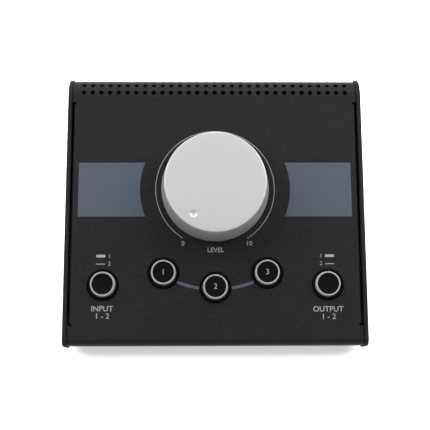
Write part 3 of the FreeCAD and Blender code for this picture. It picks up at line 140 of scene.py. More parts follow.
def thicken(mesh, height):
    """Give a flat shape on the panel its thickness, closed all round."""
    bmesh.ops.recalc_face_normals(mesh, faces=mesh.faces[:])
    top = bmesh.ops.extrude_face_region(mesh, geom=mesh.faces[:])
    bmesh.ops.translate(mesh, vec=(0, 0, height),
                        verts=[item for item in top["geom"] if isinstance(item, bmesh.types.BMVert)])
    bmesh.ops.recalc_face_normals(mesh, faces=mesh.faces[:])
    return mesh


def hexagon_nut(flats, height, bore):
    """A hexagonal nut with a softened upper edge, standing on its place."""
    mesh = bmesh.new()
    corner = flats / math.sqrt(3)
    bmesh.ops.create_cone(mesh, cap_ends=True, segments=6, radius1=corner, radius2=corner, depth=height)
    bmesh.ops.translate(mesh, vec=(0, 0, height / 2), verts=mesh.verts[:])
    rim = [edge for edge in mesh.edges if all(vert.co.z > height / 2 for vert in edge.verts)]
    bmesh.ops.bevel(mesh, geom=rim, offset=0.4, offset_type="OFFSET", segments=2, profile=0.5,
                    affect="EDGES", material=-1)
    flat = [face for face in mesh.faces if abs(face.normal.z) > 0.99]
    bmesh.ops.delete(mesh, geom=flat, context="FACES_ONLY")
    loops = []
    for level in (0, height):
        hole = bmesh.ops.create_circle(mesh, cap_ends=False, radius=bore, segments=48)["verts"]
        bmesh.ops.translate(mesh, vec=(0, 0, level), verts=hole)
        loops.append({edge for vert in hole for edge in vert.link_edges})
        outer = {edge for edge in mesh.edges if edge.is_boundary
                 and all(abs(vert.co.z - level) < 0.001 for vert in edge.verts)}
        bmesh.ops.triangle_fill(mesh, use_beauty=True, use_dissolve=False, edges=list(outer | loops[-1]))
    bmesh.ops.bridge_loops(mesh, edges=list(loops[0] | loops[1]))
    bmesh.ops.recalc_face_normals(mesh, faces=mesh.faces[:])
    return mesh


def ring_sector(inner, outer, start, end, steps=64):
    """A flat ring sector about the knob's axis. Angles are in degrees from straight down, rightwards."""
    mesh = bmesh.new()
    points = [mesh.verts.new((0, -inner, 0)), mesh.verts.new((0, -outer, 0))]
    mesh.edges.new(points)
    bmesh.ops.rotate(mesh, verts=points, cent=(0, 0, 0), matrix=Matrix.Rotation(math.radians(start), 3, "Z"))
    bmesh.ops.spin(mesh, geom=mesh.verts[:] + mesh.edges[:], cent=(0, 0, 0), axis=(0, 0, 1),
                   angle=math.radians(end - start), steps=steps, use_merge=False)
    return mesh


def trim(mesh, point, normal):
    """Cut away what lies beyond a plane."""
    bmesh.ops.bisect_plane(mesh, geom=mesh.verts[:] + mesh.edges[:] + mesh.faces[:], dist=0.0001,
                           plane_co=point, plane_no=normal, clear_outer=True)


def lettering(words, height, thickness, weight=0.0):
    """Words as thin raised letters, centred on their own height."""
    curve = bpy.data.curves.new("words", "FONT")
    curve.body = words
    curve.align_x = "CENTER"
    curve.align_y = "CENTER"
    curve.size = height / CAPITAL_HEIGHT
    curve.offset = weight
    curve.extrude = thickness / 2
    curve.resolution_u = 4
    holder = bpy.data.objects.new("words", curve)
    bpy.context.scene.collection.objects.link(holder)
    graph = bpy.context.evaluated_depsgraph_get()
    letters = bpy.data.meshes.new_from_object(holder.evaluated_get(graph))
    mesh = bmesh.new()
    mesh.from_mesh(letters)
    bpy.data.objects.remove(holder)
    bpy.data.curves.remove(curve)
    bpy.data.meshes.remove(letters)
    bmesh.ops.remove_doubles(mesh, verts=mesh.verts[:], dist=0.0005)
    bmesh.ops.translate(mesh, vec=(0, 0, thickness / 2), verts=mesh.verts[:])
    return mesh


def joined(shapes):
    """Several bmeshes, each with its place, as one."""
    whole = bmesh.new()
    for shape, place in shapes:
        part = bpy.data.meshes.new("part")
        shape.to_mesh(part)
        shape.free()
        part.transform(place)
        whole.from_mesh(part)
        bpy.data.meshes.remove(part)
    return whole


def piece(name, shape, place, body, finish, replaced=(), sharp=35):
    """Make a shape a piece that rides on a body and wears a finish."""
    mesh = bpy.data.meshes.new(name)
    shape.to_mesh(mesh)
    shape.free()
    mesh.transform(place)
    mesh.shade_smooth()
    mesh.set_sharp_from_angle(angle=math.radians(sharp))
    mesh.materials.append(finish)
    item = bpy.data.objects.new(name, mesh)
    bpy.context.scene.collection.objects.link(item)
    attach(item, body)
    if replaced:
        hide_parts(*replaced)
    return item


def dress(nodes, finish):
    """Put a finish on parts that keep their own shape."""
    for name in nodes:
        mesh = frame["nodes"][name].data
        mesh.materials.clear()
        mesh.materials.append(finish)


# Finishes


class Wire:
    """The output of a shader node. Arithmetic on it adds Math nodes."""

    def __init__(self, finish, socket):
        self.finish = finish
        self.socket = socket

    def maths(self, operation, first, second):
        return self.finish.node("ShaderNodeMath", {"operation": operation}, {0: first, 1: second})

    def __add__(self, other):
        return self.maths("ADD", self, other)

    __radd__ = __add__

    def __mul__(self, other):
        return self.maths("MULTIPLY", self, other)

    __rmul__ = __mul__


class Finish:
    """A material or a world, built node by node."""

    def __init__(self, owner):
        self.owner = owner
        owner.use_nodes = True
        self.tree = owner.node_tree
        self.tree.nodes.clear()

    def node(self, kind, settings=None, values=None, output=0):
        """Add a node: its settings first, then the values or links of its sockets."""
        made = self.tree.nodes.new(kind)
        for name, value in (settings or {}).items():
            setattr(made, name, value)
        for key, value in (values or {}).items():
            if isinstance(value, Wire):
                self.tree.links.new(value.socket, made.inputs[key])
            else:
                made.inputs[key].default_value = value
        return Wire(self, made.outputs[output])

    def place(self):
        return self.node("ShaderNodeTexCoord", output="Object")

    def noise(self, scale, detail=2.0, rough=0.5):
        """Noise of so many bumps a metre."""
        return self.node("ShaderNodeTexNoise", values={
            "Vector": self.place(), "Scale": scale, "Detail": detail, "Roughness": rough})

    def blend(self, amount, first, second):
        """A colour between two."""
        return self.node("ShaderNodeMix", {"data_type": "RGBA"}, {0: amount, 6: first, 7: second}, output=2)

    def bump(self, height, strength, depth):
        return self.node("ShaderNodeBump", values={"Height": height, "Strength": strength, "Distance": depth})

    def surface(self, **values):
        """Close the material with a Principled shader."""
        shader = self.node("ShaderNodeBsdfPrincipled",
                           values={name.replace("_", " "): value for name, value in values.items()})
        self.close(shader)
        return self.owner

    def close(self, shader, kind="ShaderNodeOutputMaterial"):
        end = self.tree.nodes.new(kind)
        self.tree.links.new(shader.socket, end.inputs["Surface"])


def new_finish(name):
    return Finish(bpy.data.materials.new(name))


def shade(red, green, blue):
    """A colour given as it looks on a screen, 0 to 255."""
    def linear(value):
        value = value / 255
        return value / 12.92 if value <= 0.04045 else ((value + 0.055) / 1.055) ** 2.4
    return (linear(red), linear(green), linear(blue), 1.0)


def powder_coat(colour):
    """Fine-grained powder coat: a matt leather of tiny bumps with small tone changes."""
    coat = new_finish("black powder coat")
    grain = coat.noise(750, 3.0, rough=0.7)
    cloud = coat.noise(60, 3.0)
    dark = [channel * 0.1 for channel in colour[:3]] + [1]
    light = [channel * 1.9 for channel in colour[:3]] + [1]
    tone = coat.blend(grain * 0.8 + cloud * 0.2, dark, light)
    return coat.surface(Base_Color=tone, Roughness=0.5 + grain * 0.16, Specular_IOR_Level=0.06,
                        Normal=coat.bump(grain, 0.7, 0.0002))


def satin_aluminium(colour):
    """Blasted, clear anodised aluminium."""
    metal = new_finish("satin aluminium")
    grain = metal.noise(3200, 3.0)
    cloud = metal.noise(45, 2.0)
    dark = [channel * 0.96 for channel in colour[:3]] + [1]
    tone = metal.blend(grain * 0.5 + cloud * 0.5, dark, colour)
    return metal.surface(Base_Color=tone, Metallic=0.85, Roughness=0.48 + grain * 0.1,
                         Normal=metal.bump(grain, 0.12, 0.00003))


def moulded(name, colour, roughness=0.45, specular=0.4, grain_size=1800, depth=0.00003):
    """Moulded plastic with a fine spark-eroded grain."""
    plastic = new_finish(name)
    grain = plastic.noise(grain_size, 2.0)
    cloud = plastic.noise(90, 2.0)
    dark = [channel * 0.85 for channel in colour[:3]] + [1]
    tone = plastic.blend(cloud, dark, colour)
    return plastic.surface(Base_Color=tone, Roughness=roughness - 0.05 + grain * 0.1,
                           Specular_IOR_Level=specular, Normal=plastic.bump(grain, 0.3, depth))


def metal(name, colour, roughness=0.3):
    """Plated or bare metal with a fine uneven polish."""
    plate = new_finish(name)
    marks = plate.noise(1500, 3.0)
    cloud = plate.noise(150, 2.0)
    dark = [channel * 0.8 for channel in colour[:3]] + [1]
    tone = plate.blend(cloud, dark, colour)
    return plate.surface(Base_Color=tone, Metallic=1.0, Roughness=roughness - 0.08 + marks * 0.16,
                         Normal=plate.bump(marks, 0.15, 0.00002))


def ink(name, colour):
    """Screen-printed ink, a little uneven as it dries on the grain below."""
    print_ink = new_finish(name)
    grain = print_ink.noise(2600, 2.0)
    dark = [channel * 0.86 for channel in colour[:3]] + [1]
    return print_ink.surface(Base_Color=print_ink.blend(grain, dark, colour), Roughness=0.5 + grain * 0.1,
                             Specular_IOR_Level=0.15, Normal=print_ink.bump(grain, 0.3, 0.00004))


def solder_resist():
    """Green circuit board with faint tracks under the lacquer."""
    board = new_finish("green circuit board")
    tracks = board.node("ShaderNodeTexBrick", {"offset": 0.5},
                        {"Vector": board.place(), "Scale": 220.0, "Mortar Size": 0.012}, output="Fac")
    grain = board.noise(400, 2.0)
    tone = board.blend(tracks, shade(14, 74, 44), shade(30, 102, 62))
    return board.surface(Base_Color=tone, Roughness=0.3 + grain * 0.15,
                         Normal=board.bump(tracks, 0.2, 0.00003))


# Settings


def length(name, millimetres, description):
    return bpy.props.FloatProperty(name=name, description=description, default=millimetres * MM,
                                   precision=5, unit="LENGTH", subtype="DISTANCE")


def angle(name, degrees, description):
    return bpy.props.FloatProperty(name=name, description=description, default=math.radians(degrees),
                                   unit="ROTATION", subtype="ANGLE")


def colour(name, red, green, blue, description):
    return bpy.props.FloatVectorProperty(name=name, description=description, size=4, subtype="COLOR",
                                         default=shade(red, green, blue), min=0, max=1)


class EnclosureSettings(bpy.types.PropertyGroup):
    coat: colour("Powder coat", 18, 18, 19, "Colour of the sheet steel's powder coat")
    screw: colour("Screws", 26, 26, 27, "Colour of the blackened screws")
    foot: colour("Feet", 24, 24, 25, "Colour of the rubber feet")


class KnobSettings(bpy.types.PropertyGroup):
    metal: colour("Aluminium", 144, 144, 143, "Colour of the knob's aluminium")
    foot: length("Foot radius", 25.2, "Radius of the knob's foot")
    top: length("Top radius", 23.2, "Radius of the knob's top edge")
    height: length("Height", 16.07, "Knob's top above the panel")
    gap: length("Gap", 1.0, "Knob's foot above the panel")
    rim: length("Rim", 0.45, "Width of the rounded rim")
    wall: length("Wall", 2.6, "Thickness of the skirt")
    roof: length("Roof", 12.9, "Underside of the top above the panel")
    boss: length("Boss radius", 7.5, "Radius of the inner boss")
    bore: length("Bore radius", 5.5, "Radius of the boss's bore, round the insert")
    bore_low: length("Bore's mouth", 4.4, "Lower end of the boss above the panel")
    bore_high: length("Bore's end", 11.7, "Upper end of the bore above the panel")
    dimple_offset: length("Dimple offset", 17.9, "Dimple from the knob's axis")
    dimple_turn: angle("Dimple angle", 33.7, "Dimple from straight down, leftwards")
    dimple_radius: length("Dimple radius", 1.65, "Radius of the dimple's mouth")
    dimple_depth: length("Dimple depth", 0.42, "Depth of the dimple")
    dimple_collar: length("Dimple's collar", 0.25, "Flat ring round the dimple's mouth")


class ButtonSettings(bpy.types.PropertyGroup):
    cap: colour("Caps", 5, 5, 6, "Colour of the caps")
    ring: colour("Rings", 116, 116, 118, "Colour of the light rings")
    dish: length("Dish", 0.25, "Depth of the select caps' hollow")
    shallow_dish: length("Shallow dish", 0.02, "Depth of the function caps' hollow")
    ring_wall: length("Ring", 0.65, "Width of the light ring")
    seat: length("Seat", 0.02, "Gap between a cap and its ring")
    ring_step: length("Ring step", 0.3, "How far the ring narrows towards its top")
    numeral: length("Numerals", 2.6, "Height of the numerals on the function caps")


class PrintSettings(bpy.types.PropertyGroup):
    ink: colour("Ink", 112, 113, 114, "Colour of the lines and labels")
    field: colour("Fields", 50, 57, 66, "Colour of the printed fields")
    thickness: length("Thickness", 0.03, "Thickness of the ink")
    arc_radius: length("Arc radius", 27.85, "Middle of the line round the knob")
    arc_width: length("Arc width", 0.3, "Width of the line round the knob")
    band_radius: length("Band radius", 47.3, "Middle of the band that joins the function buttons")
    band_width: length("Band width", 1.4, "Width of that band")
    band_start: angle("Band start", 9.1, "Start of the band's right half from straight down")
    band_end: angle("Band end", 21.9, "End of the band's right half from straight down")
    field_inner: length("Field radius", 35.2, "Radius of the fields' hollow inner edge, from the knob's axis")
    field_side: length("Field side", 64.03, "Outer edge of the fields from the middle")
    field_top: length("Field top", 12.6, "Upper edge of the fields above the knob's axis")
    field_low: length("Field foot", 13.2, "Lower edge of the fields below the knob's axis")
    bar_inner: length("Bars, inner end", 50.9, "Inner end of the bars from the middle")
    bar_outer: length("Bars, outer end", 55.0, "Outer end of the bars from the middle")
    label: length("Labels", 2.6, "Height of the labels under the select buttons")
    scale: length("Scale", 2.2, "Height of the label and numerals under the knob")
    small: length("Bar numerals", 1.9, "Height of the numerals beside the bars")


class SocketSettings(bpy.types.PropertyGroup):
    nut: colour("Nuts", 196, 193, 186, "Colour of the plated nuts")
    body: colour("Sockets", 28, 28, 29, "Colour of the sockets")
    nose: length("Nose", 4.4, "Mouth of a socket outside the rear panel")
    nose_radius: length("Nose radius", 4.74, "Radius at the foot of the nose's thread")
    thread_height: length("Thread", 0.16, "Height of a ridge of the thread")
    nut_flats: length("Nut", 12, "Nut across its flats")
    nut_gauge: length("Nut height", 2.4, "Height of a nut")
    nut_bore: length("Nut bore", 4.8, "Radius of a nut's bore")
    numeral: length("Rear numerals", 2.8, "Height of the numerals above the sockets")
    numeral_up: length("Numeral's place", 11.5, "Rear numerals above their socket's axis")


class InsideSettings(bpy.types.PropertyGroup):
    housing: colour("Potentiometer", 58, 98, 78, "Colour of the potentiometer's housing")
    zinc: colour("Zinc", 190, 190, 192, "Colour of the zinc-plated pieces")


class StageSettings(bpy.types.PropertyGroup):
    tilt: angle("Camera tilt", 10.5733, "Camera from the panel's normal, towards the front")
    yaw: angle("Camera yaw", -0.87227, "Camera from the panel's middle, sideways")
    roll: angle("Camera roll", -0.0677, "Turn of the camera about its own axis")
    aim_across: length("Aim across", -0.0813, "Point of the panel in the middle of the picture, across")
    aim_up: length("Aim up", -12.5177, "The same point, up the slope from the knob")
    distance: length("Distance", 416.338, "Camera from that point")
    lens: bpy.props.FloatProperty(name="Lens", description="Focal length on a 36 mm sensor", default=74.67,
                                  unit="CAMERA")
    ambient: bpy.props.FloatProperty(name="Ambient", description="Strength of the pale surroundings",
                                     default=0.85, subtype="FACTOR")
    glow: bpy.props.FloatProperty(name="Glow", description="Lift of the floor for the camera and reflections",
                                  default=0.3, subtype="FACTOR")
    overhead: bpy.props.FloatProperty(name="Overhead lamp", description="Power of the soft lamp above",
                                      default=2.0, unit="POWER")
    sides: bpy.props.FloatProperty(name="Side lamps", description="Power of each soft lamp beside the object",
                                   default=9.0, unit="POWER")
    rear: bpy.props.FloatProperty(name="Rear lamp", description="Power of the soft lamp behind the object",
                                  default=9.0, unit="POWER")


# Operators


class CONTROLLER_OT_stage(bpy.types.Operator):
    """Floor, surroundings, lamps and camera"""
    bl_idname = "controller.stage"
    bl_label = "Stage"

    def execute(self, context):
        settings = context.scene.controller_stage
        self.floor(settings)
        self.surroundings(settings)
        self.lamp("overhead_softbox", settings.overhead, 0.9, (0.0, 0.5, 1.0), (0, 0, 0.03))
        self.lamp("left_softbox", settings.sides, 0.55, (-0.55, 0.15, 0.5), (0, 0, 0.03))
        self.lamp("right_softbox", settings.sides, 0.55, (0.55, 0.15, 0.5), (0, 0, 0.03))
        self.lamp("rear_softbox", settings.rear, 0.7, (0.0, 0.75, 0.65), (0, 0, 0.05))
        self.camera(context, settings)
        return {"FINISHED"}

    def seen(self, finish):
        """1 for rays from the camera and for those that metal and glass send out."""
        def ray(kind):
            return finish.node("ShaderNodeLightPath", output=kind)
        return finish.node("ShaderNodeMath", {"operation": "MAXIMUM"}, {
            0: ray("Is Camera Ray"),
            1: finish.node("ShaderNodeMath", {"operation": "MAXIMUM"},
                           {0: ray("Is Glossy Ray"), 1: ray("Is Transmission Ray")}),
        })

    def floor(self, settings):
        finish = new_finish("pale floor")
        cloud = finish.noise(3, 2.0)
        white = finish.blend(cloud, (0.88, 0.88, 0.88, 1), (0.92, 0.92, 0.92, 1))
        paper = finish.node("ShaderNodeBsdfDiffuse", values={"Color": white})
        glow = finish.node("ShaderNodeEmission",
                           values={"Color": (1, 1, 1, 1), "Strength": self.seen(finish) * settings.glow})
        finish.close(finish.node("ShaderNodeAddShader", values={0: paper, 1: glow}))
        mesh = bmesh.new()
        bmesh.ops.create_grid(mesh, x_segments=2, y_segments=2, size=6)
        flat = bpy.data.meshes.new("floor")
        mesh.to_mesh(flat)
        mesh.free()
        flat.materials.append(finish.owner)
        item = bpy.data.objects.new("floor", flat)
        bpy.context.scene.collection.objects.link(item)

    def surroundings(self, settings):
        world = bpy.data.worlds.new("pale studio")
        bpy.context.scene.world = world
        finish = Finish(world)
        seen = self.seen(finish)
        strength = seen * (1 - settings.ambient) + settings.ambient
        sky = finish.node("ShaderNodeBackground", values={"Color": (1, 1, 1, 1), "Strength": strength})
        finish.close(sky, "ShaderNodeOutputWorld")

    def lamp(self, name, power, width, spot, aim):
        light = bpy.data.lights.new(name, "AREA")
        light.shape = "SQUARE"
        light.size = width
        light.energy = power
        item = bpy.data.objects.new(name, light)
        item.location = spot
        item.rotation_euler = (Vector(aim) - Vector(spot)).to_track_quat("-Z", "Y").to_euler()
        bpy.context.scene.collection.objects.link(item)

    def camera(self, context, settings):
        turn = (Matrix.Rotation(settings.tilt, 4, "X") @ Matrix.Rotation(settings.yaw, 4, "Y")
                @ Matrix.Rotation(settings.roll, 4, "Z"))
        aim = Matrix.Translation((settings.aim_across, settings.aim_up, 0))
        lens = bpy.data.cameras.new("camera")
        lens.sensor_width = 36
        lens.lens = settings.lens
        lens.clip_start = 0.01
        item = bpy.data.objects.new("camera", lens)
        context.scene.collection.objects.link(item)
        item.matrix_world = PANEL @ aim @ turn @ Matrix.Translation((0, 0, settings.distance))
        context.scene.camera = item
        context.scene.view_settings.view_transform = "Standard"


class CONTROLLER_OT_enclosure(bpy.types.Operator):
    """Powder coat, screws and feet of the enclosure"""
    bl_idname = "controller.enclosure"
    bl_label = "Enclosure"

    def execute(self, context):
        settings = context.scene.controller_enclosure
        dress(("top_cover", "base_pan", "rear_panel", "left_cheek", "right_cheek"),
              powder_coat(settings.coat))
        dress(("cheek_screws", "rear_screws"), metal("blackened steel", settings.screw, 0.4))
        dress(("rubber_feet",), moulded("rubber", settings.foot, 0.7, 0.3, 900))
        return {"FINISHED"}


class CONTROLLER_OT_knob(bpy.types.Operator):
    """Volume knob with its rounded rim and dimple"""
    bl_idname = "controller.knob"
    bl_label = "Volume knob"

    def execute(self, context):
        settings = context.scene.controller_knob
        foot, top = settings.foot / MM, settings.top / MM
        height, gap, rim = settings.height / MM, settings.gap / MM, settings.rim / MM
        wall, roof, boss = settings.wall / MM, settings.roof / MM, settings.boss / MM
        bore, bore_low, bore_high = settings.bore / MM, settings.bore_low / MM, settings.bore_high / MM
        shell = turned((
            (top - 1.4, height),
            (top, height, rim),
            (foot, gap, 0.3),
            (foot - wall, gap, 0.2),
            (top - wall, roof, 1.0),
            (boss, roof, 0.8),
            (boss, bore_low),
            (bore, bore_low),
            (bore, bore_high),
            (0, bore_high),
        ), steps=128)
        self.close_top(shell, settings, height)
        piece("knob_shell", shell, on_panel(), "volume",
              satin_aluminium(settings.metal), ("volume_knob",), sharp=40)
        return {"FINISHED"}

    def close_top(self, shell, settings, height):
        """The flat top round the dimple."""
        radius, depth = settings.dimple_radius / MM, settings.dimple_depth / MM
        hollow = turned((
            (radius + settings.dimple_collar / MM, height),
            (radius, height),
            (radius * 0.94, height - depth * 0.13),
            (radius * 0.72, height - depth * 0.55),
            (radius * 0.4, height - depth * 0.87),
            (radius * 0.15, height - depth * 0.98),
            (0, height - depth),
        ), steps=48)
        turn = Matrix.Rotation(-settings.dimple_turn, 4, "Z")
        spot = turn @ Matrix.Translation((0, -settings.dimple_offset / MM, 0))
        loose = bpy.data.meshes.new("dimple")
        hollow.to_mesh(loose)
        hollow.free()
        loose.transform(spot)
        shell.from_mesh(loose)
        bpy.data.meshes.remove(loose)
        edges = [edge for edge in shell.edges if edge.is_boundary]
        bmesh.ops.triangle_fill(shell, use_beauty=True, use_dissolve=False, edges=edges, normal=(0, 0, 1))
        bmesh.ops.recalc_face_normals(shell, faces=shell.faces[:])


class CONTROLLER_OT_buttons(bpy.types.Operator):
    """Caps, light rings and numerals of the buttons, and their switches"""
    bl_idname = "controller.buttons"
    bl_label = "Buttons"

    def execute(self, context):
        settings = context.scene.controller_buttons
        plastic = moulded("black cap plastic", settings.cap, 0.6, 0.03, 2400)
        light = moulded("light ring plastic", settings.ring, 0.35, 0.4, 900, 0.00001)
        mark = ink("cap ink", context.scene.controller_print.ink)
        ink_height, ink_sunk = 0.02, 0.015
        for name in BUTTONS:
            place = on_panel(*button_spot(name))
            self.cap(name, settings, place, plastic)
            self.ring(name, settings, place, light)
        for number, name in enumerate(FUNCTIONS, start=1):
            place = on_panel(*button_spot(name))
            top = span(name + "_cap", place)[2]
            words = lettering(str(number), settings.numeral / MM, ink_height)
            spot = place @ Matrix.Translation((0, 0, top - ink_sunk))
            piece(name + "_numeral", words, spot, name, mark)
        dress([name + "_switch" for name in BUTTONS], moulded("switch plastic", shade(30, 30, 31)))
        dress([name + "_plunger" for name in BUTTONS], moulded("plunger plastic", shade(222, 220, 212)))
        dress([name + "_spring" for name in BUTTONS], metal("spring steel", shade(180, 180, 182)))
        return {"FINISHED"}

    def cap(self, name, settings, place, finish):
        """A cap's face inside its ring, on the collar that fills the panel's hole."""
        collar, under, top = span(name + "_cap", place)
        outer, brim, _ = span(name + "_ring", place)
        core = outer - (settings.ring_step + settings.ring_wall + settings.seat) / MM
        dish = (settings.shallow_dish if name in FUNCTIONS else settings.dish) / MM
        shape = turned((
            (0, under), (collar, under, 0.15), (collar, brim, 0.15), (core, brim), (core, top, 0.12),
            (core - 0.5, top - dish * 0.15), (core * 0.75, top - dish * 0.55),
            (core * 0.45, top - dish * 0.85), (core * 0.2, top - dish), (0, top - dish),
        ), steps=72)
        piece(name + "_cap_face", shape, place, name, finish, (name + "_cap",))

    def ring(self, name, settings, place, finish):
        """A light ring that narrows upwards."""
        outer, under, top = span(name + "_ring", place)
        outer -= settings.ring_step / MM
        inner = outer - settings.ring_wall / MM
        shape = turned(((inner, under), (outer + 0.25, under), (outer, top, 0.2), (inner, top, 0.1)),
                       steps=96, closed=True)
        piece(name + "_light_ring", shape, place, name, finish, (name + "_ring",))


class CONTROLLER_OT_printing(bpy.types.Operator):
    """Printed fields, lines and labels of the panel"""
    bl_idname = "controller.printing"
    bl_label = "Printing"

    def execute(self, context):
        settings = context.scene.controller_print
        thickness = settings.thickness / MM
        light = ink("light grey ink", settings.ink)
        field = ink("blue-grey ink", settings.field)
        self.fields(settings, thickness, field)
        self.arcs(settings, thickness, light, field)
        self.select_marks(settings, thickness, light)
        self.labels(settings, thickness, light)
        return {"FINISHED"}

    def fields(self, settings, thickness, finish):
        """Ring sectors round the knob's axis, cut to a straight side, top and foot."""
        spare_radius, half_angle = 80.0, 30
        for side, name in ((-1, "left_field"), (1, "right_field")):
            shape = ring_sector(settings.field_inner / MM, spare_radius, 90 * side - half_angle,
                                90 * side + half_angle)
            trim(shape, (settings.field_side / MM * side, 0, 0), (side, 0, 0))
            trim(shape, (0, settings.field_top / MM, 0), (0, 1, 0))
            trim(shape, (0, -settings.field_low / MM, 0), (0, -1, 0))
            piece(name, thicken(shape, thickness), on_panel(), "chassis", finish)

    def arcs(self, settings, thickness, light, field):
        radius, half = settings.arc_radius / MM, settings.arc_width / MM / 2
        start, end = 32.3, 327
        scale = thicken(ring_sector(radius - half, radius + half, start, end, 160), thickness)
        piece("knob_arc", scale, on_panel(), "chassis", light)
        radius, half = settings.band_radius / MM, settings.band_width / MM / 2
        for side, name in ((-1, "left_band"), (1, "right_band")):
            ends = settings.band_start, settings.band_end
            start, end = sorted(math.degrees(end) * side for end in ends)
            band = thicken(ring_sector(radius - half, radius + half, start, end, 24), thickness)
            piece(name, band, on_panel(), "chassis", field)

    def select_marks(self, settings, thickness, light):
        """A thick and a thin bar, each with its numeral, above each select button."""
        inner, outer = settings.bar_inner / MM, settings.bar_outer / MM
        thick_bar, thin_bar = (-32.39, -31.14), (-35.68, -35.32)
        numeral_across, numeral_ups = 48.9, (-31.9, -35.4)
        for side, name in ((-1, "input"), (1, "output")):
            mark = joined([(block((inner, low, 0), (outer, high, thickness)), Matrix.Identity(4))
                           for low, high in (thick_bar, thin_bar)])
            if side < 0:
                bmesh.ops.scale(mark, vec=(-1, 1, 1), verts=mark.verts[:])
                bmesh.ops.recalc_face_normals(mark, faces=mark.faces[:])
            piece(name + "_bars", mark, on_panel(), "chassis", light)
            for number, up in enumerate(numeral_ups, start=1):
                piece(f"{name}_numeral_{number}", lettering(str(number), settings.small / MM, thickness),
                      on_panel(numeral_across * side, up), "chassis", light)

    def labels(self, settings, thickness, light):
        """Words and numerals: name, words, height, place across and up the panel from the knob's axis."""
        label, scale, weight = settings.label / MM, settings.scale / MM, 0.02
        rows = (
            ("input_label", "INPUT", label, -51.95, -56.15),
            ("input_range", "1 - 2", label, -51.85, -59.55),
            ("output_label", "OUTPUT", label, 51.7, -56.5),
            ("output_range", "1 - 2", label, 51.85, -59.95),
            ("level_label", "LEVEL", scale, 0.15, -29.05),
            ("scale_start", "0", scale, -15.0, -26.0),
            ("scale_end", "10", scale, 15.7, -26.0),
        )
        for name, words, size, across, up in rows:
            piece(name, lettering(words, size, thickness, weight), on_panel(across, up), "chassis",
                  light)


class CONTROLLER_OT_sockets(bpy.types.Operator):
    """Sockets of the rear with their threads and nuts"""
    bl_idname = "controller.sockets"
    bl_label = "Sockets"

    def execute(self, context):
        settings = context.scene.controller_sockets
        plastic = moulded("socket plastic", settings.body, 0.42)
        plated = metal("nickel plate", settings.nut, 0.28)
        dress([name + "_jack" for name in JACKS] + ["mini_input_jack"], plastic)
        dress(("mini_jack_nut",), plated)
        seat = Matrix.Translation((0, 0, -settings.nose / MM))
        flats, gauge, bore = settings.nut_flats / MM, settings.nut_gauge / MM, settings.nut_bore / MM
        nuts = [(hexagon_nut(flats, gauge, bore), at_rear(name + "_socket") @ seat) for name in JACKS]
        piece("socket_nuts", joined(nuts), Matrix.Identity(4), "chassis", plated, ("jack_nuts",))
        self.threads(settings, plastic)
        self.numbers(settings, ink("rear ink", context.scene.controller_print.ink))
        return {"FINISHED"}

    def threads(self, settings, finish):
        """Ridges of the thread on each nose, outside its nut. Heights run from the socket's mouth."""
        foot = settings.nose_radius / MM
        crest, core = foot + settings.thread_height / MM, foot - 0.14
        start, end, pitch, count = -1.95, -0.1, 0.45, 4
        ridges = []
        for name in JACKS:
            corners = [(core, start), (foot - 0.02, start)]
            for number in range(count):
                corners += [(foot, start + 0.05 + number * pitch), (crest, start + 0.27 + number * pitch)]
            corners += [(foot, end), (core, end)]
            ridges.append((turned(corners, steps=48, closed=True), at_rear(name + "_socket")))
        piece("socket_threads", joined(ridges), Matrix.Identity(4), "chassis", finish)

    def numbers(self, settings, finish):
        """Plain numbers above the sockets, from left to right as seen from behind."""
        order = sorted(JACKS, key=lambda name: -MOUNTS[name + "_socket"]["pos_m"][0])
        up, face = settings.numeral_up / MM, -settings.nose / MM
        for number, name in enumerate(order, start=1):
            place = at_rear(name + "_socket") @ Matrix.Translation((0, up, face))
            words = lettering(str(number), settings.numeral / MM, 0.03)
            piece(f"rear_numeral_{number}", words, place, "chassis", finish)


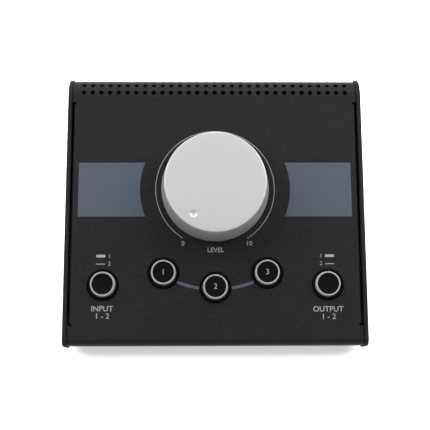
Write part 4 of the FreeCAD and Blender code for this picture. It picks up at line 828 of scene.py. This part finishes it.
class CONTROLLER_OT_insides(bpy.types.Operator):
    """Boards, potentiometer, pillars and cable inside"""
    bl_idname = "controller.insides"
    bl_label = "Insides"

    def execute(self, context):
        settings = context.scene.controller_insides
        zinc = metal("zinc-plated steel", settings.zinc, 0.35)
        dress(("foot_screws", "control_board_screws", "jack_board_screws", "pot_nut", "pot_washer",
               "board_pillars", "pot_shaft"), zinc)
        dress(("pot_bushing",), metal("brass", shade(212, 176, 96), 0.3))
        dress(("pot_housing",), moulded("potentiometer housing", settings.housing, 0.4))
        dress(("knob_insert", "ribbon_headers"), moulded("black insert plastic", shade(28, 28, 29)))
        dress(("control_board", "jack_board"), solder_resist())
        dress(("pad_resistors",), moulded("resistor lacquer", shade(120, 160, 186), 0.25, 0.5))
        dress(("ribbon_cable",), moulded("ribbon sheath", shade(150, 150, 152), 0.5))
        return {"FINISHED"}


class CONTROLLER_PT_panel(bpy.types.Panel):
    """Steps that build the controller"""
    bl_idname = "CONTROLLER_PT_panel"
    bl_label = "Monitor controller"
    bl_space_type = "VIEW_3D"
    bl_region_type = "UI"
    bl_category = "Controller"

    def draw(self, context):
        for step in STEPS:
            self.layout.operator(step.bl_idname)
        for name, group in SETTINGS.items():
            box = self.layout.box()
            box.label(text=name.removeprefix("controller_").capitalize())
            for prop in group.__annotations__:
                box.prop(getattr(context.scene, name), prop)


STEPS = (CONTROLLER_OT_stage, CONTROLLER_OT_enclosure, CONTROLLER_OT_knob, CONTROLLER_OT_buttons,
         CONTROLLER_OT_printing, CONTROLLER_OT_sockets, CONTROLLER_OT_insides)
SETTINGS = {
    "controller_stage": StageSettings,
    "controller_enclosure": EnclosureSettings,
    "controller_knob": KnobSettings,
    "controller_buttons": ButtonSettings,
    "controller_print": PrintSettings,
    "controller_sockets": SocketSettings,
    "controller_insides": InsideSettings,
}


def register():
    for group in SETTINGS.values():
        bpy.utils.register_class(group)
    for step in STEPS:
        bpy.utils.register_class(step)
    bpy.utils.register_class(CONTROLLER_PT_panel)
    for name, group in SETTINGS.items():
        setattr(bpy.types.Scene, name, bpy.props.PointerProperty(type=group))


def unregister():
    for name in SETTINGS:
        delattr(bpy.types.Scene, name)
    bpy.utils.unregister_class(CONTROLLER_PT_panel)
    for item in (*reversed(STEPS), *SETTINGS.values()):
        bpy.utils.unregister_class(item)


def main():
    register()
    bpy.ops.controller.stage()
    bpy.ops.controller.enclosure()
    bpy.ops.controller.knob()
    bpy.ops.controller.buttons()
    bpy.ops.controller.printing()
    bpy.ops.controller.sockets()
    bpy.ops.controller.insides()


if __name__ == "__main__":
    main()
